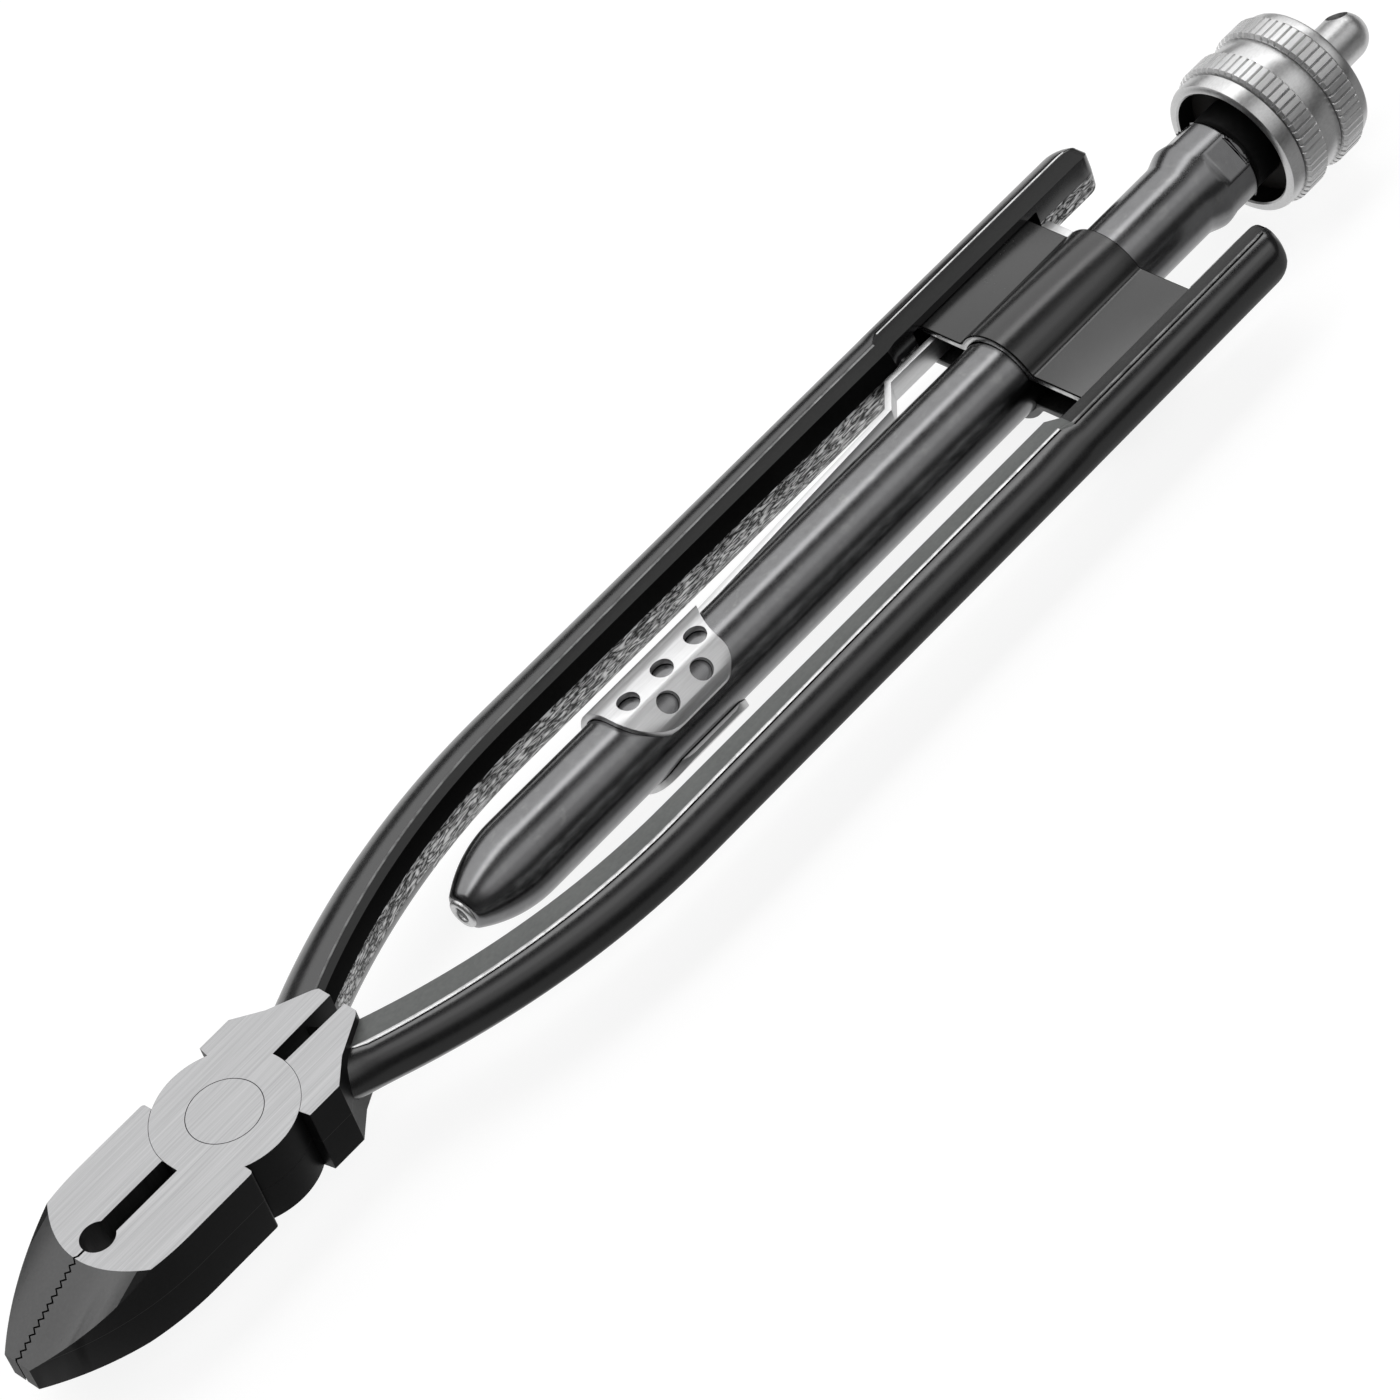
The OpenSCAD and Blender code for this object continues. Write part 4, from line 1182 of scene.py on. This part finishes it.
@dataclass
class Latch:
    """Sliding latch: pierced thumb pads over and under the barrel, strip along it and lug behind the saddle."""

    inner: float = 5.37
    thick: float = 0.8
    height: float = 3.1
    pad_x: float = 63.0
    pad_len: float = 16.0
    flare: float = 4.8
    front_r: float = 6.0
    rear_r: float = 3.4
    wrap: float = 66.0
    view: float = 20.0
    hole_r: float = 1.4
    lead: float = 3.2
    pitch: float = 5.7
    rows: Pair = (2.0, 35.0)
    lug: Pair = (1.3, 0.5)
    path: tuple[Pair, ...] = ((80.8, 5.77), (118.5, 7.47), (121.9, 10.55), (150.7, 10.55), (150.7, 6.95))
    drill: Pair = (3.0, 9.0)
    edge: float = 0.14

    def pad_plan(self) -> list[Pair]:
        """Returns the outline of the pad seen along its middle, as distance along X and from the middle."""
        mid = self.inner + self.thick / 2
        edge = mid * math.sin(math.radians(self.wrap - self.view))
        root = -self.inner - self.thick - 1
        rear = self.pad_x + self.pad_len
        fall = edge - self.rear_r
        front = on_circle((self.pad_x + self.front_r, edge - self.front_r), self.front_r,
                          map(math.radians, range(180, 89, -9)))
        back = on_circle((rear - self.rear_r, fall), self.rear_r, map(math.radians, range(81, -1, -9)))
        tail = [(rear + self.flare * (i / 12) ** 2, fall + (root - fall) * i / 12) for i in range(1, 13)]
        return [(self.pad_x, root), *front, *back, *tail]

    def ribbon(self) -> list[Pair]:
        """Returns the outline of the bent strip, with mitred corners."""
        line = [Vector(p) for p in self.path]
        last = len(line) - 1
        near, far = [], []
        for i, at in enumerate(line):
            u = (line[max(i, 1)] - line[max(i - 1, 0)]).normalized()
            v = (line[min(i + 1, last)] - line[min(i, last - 1)]).normalized()
            n = Vector((-u.y - v.y, u.x + v.x))
            off = n * self.thick / n.length_squared
            near.append(tuple(at + off))
            far.append(tuple(at - off))
        return [*near, *reversed(far)]

    def build(self) -> None:
        """Models the upper pad, mirrors it below the barrel, adds the bent strip and dresses the latch."""
        latch = self.pad()
        Bench.work(latch, Bench.mirrored(latch, "lower_pad"), Join.ADD)
        half = self.height / 2
        strip = Bench.prism("strip", [(x, y, -half) for x, y in self.ribbon()], (0, 0, self.height))
        Bench.work(latch, strip, Join.ADD)
        (_, lug_top), (lug_x, lug_y) = self.path[-2:]
        lug_len, lug_t = self.lug
        lug = Bench.block("lug", (lug_x, lug_y, half - lug_t),
                          (lug_x + lug_len, lug_top + self.thick / 2, half))
        Bench.work(latch, lug, Join.ADD)
        Bench.paint(latch, [Finishes.BRIGHT])
        Bench.ease(latch, self.edge, 3, 35.0)
        Bench.ship(latch, "latch_left", "latch_left", "latch_steel", 40.0)

    def pad(self) -> Piece:
        """Rolls the upper thumb pad, trims it to its outline and pierces it."""
        turns = even(0.0, math.radians(90 + self.wrap), 48)
        ring = on_circle((0, 0), self.inner + self.thick, turns)
        ring += on_circle((0, 0), self.inner, reversed(turns))
        pad = Bench.prism("latch_left_strip", [(self.pad_x - 1, y, z) for y, z in ring],
                          (self.pad_len + self.flare + 1, 0, 0))
        tilt = math.radians(self.view)
        across = Vector((0, math.cos(tilt), math.sin(tilt)))
        out = Vector((0, -math.sin(tilt), math.cos(tilt)))
        plan = [tuple(Vector((x, 0, 0)) - s * across - THROUGH * out) for x, s in self.pad_plan()]
        Bench.work(pad, Bench.prism("pad_plan", plan, tuple(2 * THROUGH * out)), Join.COMMON)
        low, high = self.drill
        for row, angle in enumerate(self.rows):
            a = math.radians(angle)
            up = Vector((0, -math.sin(a), math.cos(a)))
            for i in range(3 - row):
                foot = Vector((self.pad_x + self.lead + (i + row / 2) * self.pitch, 0, 0))
                tool = Bench.rod("grip_hole", self.hole_r, foot + low * up, foot + high * up, 48)
                Bench.work(pad, tool, Join.CUT)
        return pad


@dataclass
class Knob:
    """Pull knob: cupped shell with two knurled bands, hanger stub and twisted spindle."""

    start: float = 173.0
    bands: tuple[Pair, ...] = ((175.4, 179.0), (182.3, 185.9))
    end: float = 187.5
    rim_r: float = 9.5
    groove_r: float = 9.6
    knurl_r: float = 10.1
    knurl_depth: float = 0.35
    ridges: int = 60
    cup_r: float = 8.15
    cup_floor: float = 177.82
    bush_r: float = 5.74
    stub_r: float = 3.1
    stub_end: float = 197.9
    shank_r: float = 3.5
    lanyard_x: float = 195.5
    lanyard_r: float = 1.4
    lanyard_tilt: float = -24.0
    bar_start: float = 52.66
    bar_end: float = 182.82
    bar_side: float = 3.3
    lead: float = 40.0
    knurl_sizes: Pair = (0.9, 0.965)
    knurl_ramp: float = 0.3
    pin_r: float = 2.36
    fillet: float = 0.3
    drill: float = 8.0
    stub_edge: float = 0.22
    bar_edge: float = 0.3
    bar_gap: float = 0.3
    bar_steps: int = 130

    def shell_profile(self) -> list[Pair]:
        """Returns the turned profile of the shell: rims, groove, cup and bush bore."""
        (a0, a1), (b0, b1) = self.bands
        r, g, low = self.rim_r, self.groove_r, self.rim_r - 0.35
        return [(self.start, self.cup_r + 0.2),
                (self.start, r - 0.55), (self.start + 0.16, r - 0.16), (self.start + 0.55, r),
                (a0 - 0.22, r), (a0 - 0.05, r - 0.18), (a0, low), (a1, low),
                (a1 + 0.05, g - 0.22), (a1 + 0.25, g - 0.1), (b0 - 0.25, g - 0.1), (b0 - 0.05, g - 0.22),
                (b0, low), (b1, low), (b1 + 0.05, r - 0.18),
                (b1 + 0.22, r), (self.end - 0.5, r), (self.end - 0.14, r - 0.14), (self.end, r - 0.5),
                (self.end, self.bush_r), (self.cup_floor, self.bush_r), (self.cup_floor, self.cup_r),
                (self.start + 0.2, self.cup_r)]

    def knurl(self, x0: float, x1: float) -> Piece:
        """Models a knurled band: a toothed ring pushed along X with chamfered ends.

        Args:
            x0: Start of the band.
            x1: End of the band.

        Returns:
            The closed ring.
        """
        Bench.clear()
        bpy.ops.mesh.primitive_circle_add(vertices=6 * self.ridges, radius=self.knurl_r, location=(x0, 0, 0),
                                          rotation=(0, math.pi / 2, 0))
        ring = Bench.adopt("knurl")
        step = 2 * math.pi / self.ridges
        bpy.ops.object.mode_set(mode="EDIT")
        Bench.pick(ring, lambda co: abs((math.atan2(co.y, co.z) + 8 * math.pi) / step % 1 - 0.5) < 0.1)
        Bench.swell(1 - self.knurl_depth / self.knurl_r)
        bpy.ops.mesh.select_all(action="SELECT")
        (inner, chamfer), ramp = self.knurl_sizes, self.knurl_ramp
        Bench.swell(inner)
        scale = inner
        steps = ((0.0, chamfer), (ramp, 1.0), (x1 - x0 - 2 * ramp, 1.0), (ramp, chamfer), (0.0, inner))
        for step_x, size in steps:
            Bench.push((step_x, 0, 0))
            Bench.swell(size / scale)
            scale = size
        limit = inner * self.knurl_r + 0.01
        Bench.pick(ring, lambda co: math.hypot(co.y, co.z) < limit)
        bpy.ops.mesh.bridge_edge_loops()
        Bench.close()
        return ring

    def build(self) -> None:
        """Turns the shell, knurls it, turns the stub and twists the spindle, and dresses them."""
        shell = Bench.lathe("knob_shell_body", self.shell_profile(), steps=128)
        Bench.paint(shell, [Finishes.ALLOY, Finishes.CUP], self.slot_of)
        Bench.ship(shell, "spindle", "knob_shell", "knob_alloy", 40.0)
        for place, (x0, x1) in zip(("front", "rear"), self.bands):
            ring = self.knurl(x0, x1)
            ring.name = f"knob_knurl_{place}"
            Bench.paint(ring, [Finishes.KNURL])
            Bench.ship(ring, "spindle", "knob_shell", "knob_alloy", 25.0)
        self.stub()
        self.bar()

    def slot_of(self, at: Vector, normal: Vector) -> int:
        """Returns the slot of a shell face: painted shade, near black, inside the cup; alloy elsewhere."""
        inward = normal.y * at.y + normal.z * at.z < -0.5
        floor = abs(at.x - self.cup_floor) < 0.01
        return 1 if (inward or floor) and at.x > self.start + 0.19 else 0

    def stub(self) -> None:
        """Turns the hanger stub with its domed end and drills the lanyard hole."""
        r, base = self.stub_r, self.stub_end - self.stub_r
        dome = [(base + r * math.sin(a), r * math.cos(a)) for a in map(math.radians, range(0, 90, 6))]
        profile = [(self.bar_end, 0.0), (self.bar_end, self.pin_r), (self.cup_floor, self.pin_r),
                   (self.cup_floor, self.shank_r), (self.end, self.shank_r), (self.end, r + self.fillet),
                   (self.end + self.fillet, r), *dome, (self.stub_end, 0.0)]
        stub = Bench.lathe("hanger_stub", profile, closed=False, steps=96)
        tilt = math.radians(self.lanyard_tilt)
        out = Vector((0, -math.sin(tilt), math.cos(tilt)))
        at, reach = Vector((self.lanyard_x, 0, 0)), self.drill * out
        Bench.work(stub, Bench.rod("lanyard", self.lanyard_r, at - reach, at + reach), Join.CUT)
        Bench.paint(stub, [Finishes.STUB])
        Bench.ease(stub, self.stub_edge, 3)
        Bench.ship(stub, "spindle", "hanger_stud", "bright_steel", 45.0)

    def bar(self) -> None:
        """Pushes the square spindle bar in steps and twists it to its lead."""
        half = self.bar_side / 2
        bar = Bench.blank("spindle_bar")
        Bench.chain([(self.bar_start, y * half, z * half) for y, z in ((1, 1), (-1, 1), (-1, -1), (1, -1))])
        bpy.ops.mesh.bevel(offset=self.bar_edge, segments=3, affect="VERTICES")
        bpy.ops.mesh.select_all(action="SELECT")
        length = self.bar_end - self.bar_gap - self.bar_start
        for _ in range(self.bar_steps):
            Bench.push((length / self.bar_steps, 0, 0))
        Bench.close()
        Bench.apply(bar, "SIMPLE_DEFORM", deform_method="TWIST", deform_axis="X",
                    angle=2 * math.pi * length / self.lead)
        Bench.paint(bar, [Finishes.BAR])
        Bench.ship(bar, "spindle", "spindle", "bright_steel", 30.0)


@dataclass
class Spring:
    """Return spring in the barrel, which shortens as the knob is pulled."""

    wire_r: float = 0.39
    coil_r: float = 3.433
    start: float = 53.04
    end: float = 166.38
    turns: int = 22
    anchor: float = 166.7
    pull: float = 75.0
    wire_sides: int = 10
    turn_steps: int = 24

    def build(self) -> None:
        """Screws a wire section into the coil and closes its ends."""
        Bench.clear()
        bpy.ops.mesh.primitive_circle_add(vertices=self.wire_sides, radius=self.wire_r,
                                          location=(self.start, 0, self.coil_r), rotation=(math.pi / 2, 0, 0))
        coil = Bench.adopt("return_spring_coil")
        Bench.apply(coil, "SCREW", axis="X", iterations=self.turns, steps=self.turn_steps,
                    render_steps=self.turn_steps, screw_offset=(self.end - self.start) / self.turns)
        Bench.edit(coil)
        bpy.ops.mesh.remove_doubles(threshold=0.002)
        bpy.ops.mesh.fill_holes(sides=0)
        Bench.close()
        Bench.paint(coil, [Finishes.SPRING])
        Bench.ship(coil, "barrel", "return_spring", "spring_steel", 60.0)
        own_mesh(coil)


@dataclass
class Works:
    """Inner CAD nodes that keep their solids and take a finish."""

    finishes: dict[str, Finish] = field(default_factory=lambda: {
        "drive_nut": Finishes.BRONZE, "nut_ring": Finishes.SPRING, "thrust_washer": Finishes.SPRING,
        "spring_seat": Finishes.BRONZE, "spindle_stop": Finishes.BAR,
        "knob_bumper": Finishes.FIBRE, "knob_bush": Finishes.BRONZE})

    def build(self) -> None:
        """Paints each inner node."""
        for name, finish in self.finishes.items():
            node = frame["nodes"][name]
            node.data.materials.clear()
            node.data.materials.append(finish.material())
            log.info("%s dressed in %s", name, finish.name)


@dataclass(frozen=True)
class Lamp:
    """A long soft lamp parallel to the tool.

    The angle runs from overhead towards the left handle, in degrees. The distance from the barrel axis and
    the sizes are in metres, and the radiance is the brightness of the lamp's face.
    """

    name: str
    angle: float
    distance: float
    width: float
    radiance: float
    length: float = 2.6
    middle: float = 0.5

    def hang(self) -> None:
        """Makes the lamp and turns its face to the barrel axis."""
        data = bpy.data.lights.new(self.name, "AREA")
        data.shape = "RECTANGLE"
        data.size, data.size_y = self.length, self.width
        data.energy = self.radiance * math.pi * self.length * self.width
        lamp = bpy.data.objects.new(self.name, data)
        a = math.radians(self.angle)
        lamp.location = (self.middle, self.distance * math.sin(a), self.distance * math.cos(a))
        lamp.rotation_euler = (-a, 0, 0)
        bpy.context.scene.collection.objects.link(lamp)


@dataclass
class Studio:
    """Pale floor, soft light and the camera of the view."""

    floor_z: float = -0.0056
    floor_size: float = 8.0
    floor_tone: float = 0.22
    floor_seen: float = 0.86
    floor_mirrored: Pair = (0.14, 0.8)
    mirror_y: Pair = (-0.014, -0.009)
    ambient: float = 0.06
    eye: Point = (-0.1840, -0.4057, 0.4812)
    turn: float = -32.585
    rise: float = 44.866
    roll: float = -20.653
    lens: float = 154.286
    lamps: tuple[Lamp, ...] = (
        Lamp("over_left", 37.5, 1.10, 1.27, 1.25), Lamp("over_edge", 14.5, 1.08, 0.27, 1.7),
        Lamp("near_wide", -38.0, 1.30, 1.38, 0.30), Lamp("near_mid", -40.0, 1.28, 0.88, 0.30),
        Lamp("near_core", -31.0, 1.26, 0.48, 0.40))

    def build(self) -> None:
        """Sets the whole studio."""
        self.view()
        self.floor()
        self.world()
        for lamp in self.lamps:
            lamp.hang()
        bpy.context.scene.view_settings.view_transform = "Standard"

    def view(self) -> None:
        """Places the camera at the angle of the view."""
        a, e, r = (math.radians(v) for v in (self.turn, self.rise, self.roll))
        back = Vector((math.sin(a) * math.cos(e), -math.cos(a) * math.cos(e), math.sin(e)))
        right = Vector((math.cos(a), math.sin(a), 0))
        up = back.cross(right)
        across = math.cos(r) * right + math.sin(r) * up
        above = -math.sin(r) * right + math.cos(r) * up
        data = bpy.data.cameras.new("view")
        data.lens = self.lens
        data.sensor_width = 36.0
        data.clip_start = 0.01
        data.dof.use_dof = False
        camera = bpy.data.objects.new("view", data)
        camera.matrix_world = Matrix.Translation(self.eye) @ Matrix((across, above, back)).transposed().to_4x4()
        bpy.context.scene.collection.objects.link(camera)
        bpy.context.scene.camera = camera

    def floor(self) -> None:
        """Lays the pale floor with a soft shadow; in reflections its right side is dimmer than to the eye, a
        painted shadow of the right handle.
        """
        Bench.clear()
        bpy.ops.mesh.primitive_plane_add(size=self.floor_size, location=(0.08, 0, self.floor_z))
        plane = Bench.adopt("floor")
        shader = Shader("floor_white")
        shader.settle(shader.skin, {"Base Color": (*grey(self.floor_tone), 1), "Roughness": 1.0,
                                    "Specular IOR Level": 0.0, "Emission Color": (1, 1, 1, 1)})
        across = shader.node("ShaderNodeSeparateXYZ")
        shader.join(shader.place, across.inputs[0])
        # Painted shadow in reflections: glossy rays find the floor dim on the right handle's side and bright
        # elsewhere.
        mirrored = shader.spread(across.outputs["Y"], *self.floor_mirrored, *self.mirror_y)
        shader.join(self.seen(shader, self.floor_seen, mirrored), shader.skin.inputs["Emission Strength"])
        plane.data.materials.append(shader.material)

    @staticmethod
    def seen(shader: Shader, strength: float, mirrored: Socket) -> Socket:
        """Gives one strength to camera and transmission rays, one to glossy rays and 0 to the others."""
        path = shader.node("ShaderNodeLightPath")
        sight = shader.sums("MAXIMUM", path.outputs["Is Camera Ray"], path.outputs["Is Transmission Ray"])
        direct = shader.sums("MULTIPLY", sight, strength)
        return shader.sums("MAXIMUM", direct, shader.sums("MULTIPLY", path.outputs["Is Glossy Ray"], mirrored))

    def world(self) -> None:
        """Makes the surroundings white to the eye and dim to the object."""
        world = bpy.data.worlds.new("surroundings")
        bpy.context.scene.world = world
        world.use_nodes = True
        tree = world.node_tree
        sky = tree.nodes["Background"]
        path = tree.nodes.new("ShaderNodeLightPath")
        tone = tree.nodes.new("ShaderNodeMapRange")
        tone.inputs[3].default_value = self.ambient
        tone.inputs[4].default_value = 1.0
        tree.links.new(path.outputs["Is Camera Ray"], tone.inputs[0])
        sky.inputs["Color"].default_value = (1, 1, 1, 1)
        tree.links.new(tone.outputs[0], sky.inputs["Strength"])


def main() -> None:
    """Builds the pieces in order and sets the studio."""
    logging.basicConfig(level=logging.INFO, format="%(message)s")
    heads = Head(Side.LEFT, 0), Head(Side.RIGHT, 1, bore_r=4.56)
    for part in (*heads, Handle(), Rivet(), Barrel(), Saddle(), Latch(), Knob(), Spring(), Works(), Studio()):
        part.build()


if __name__ == "__main__":
    main()
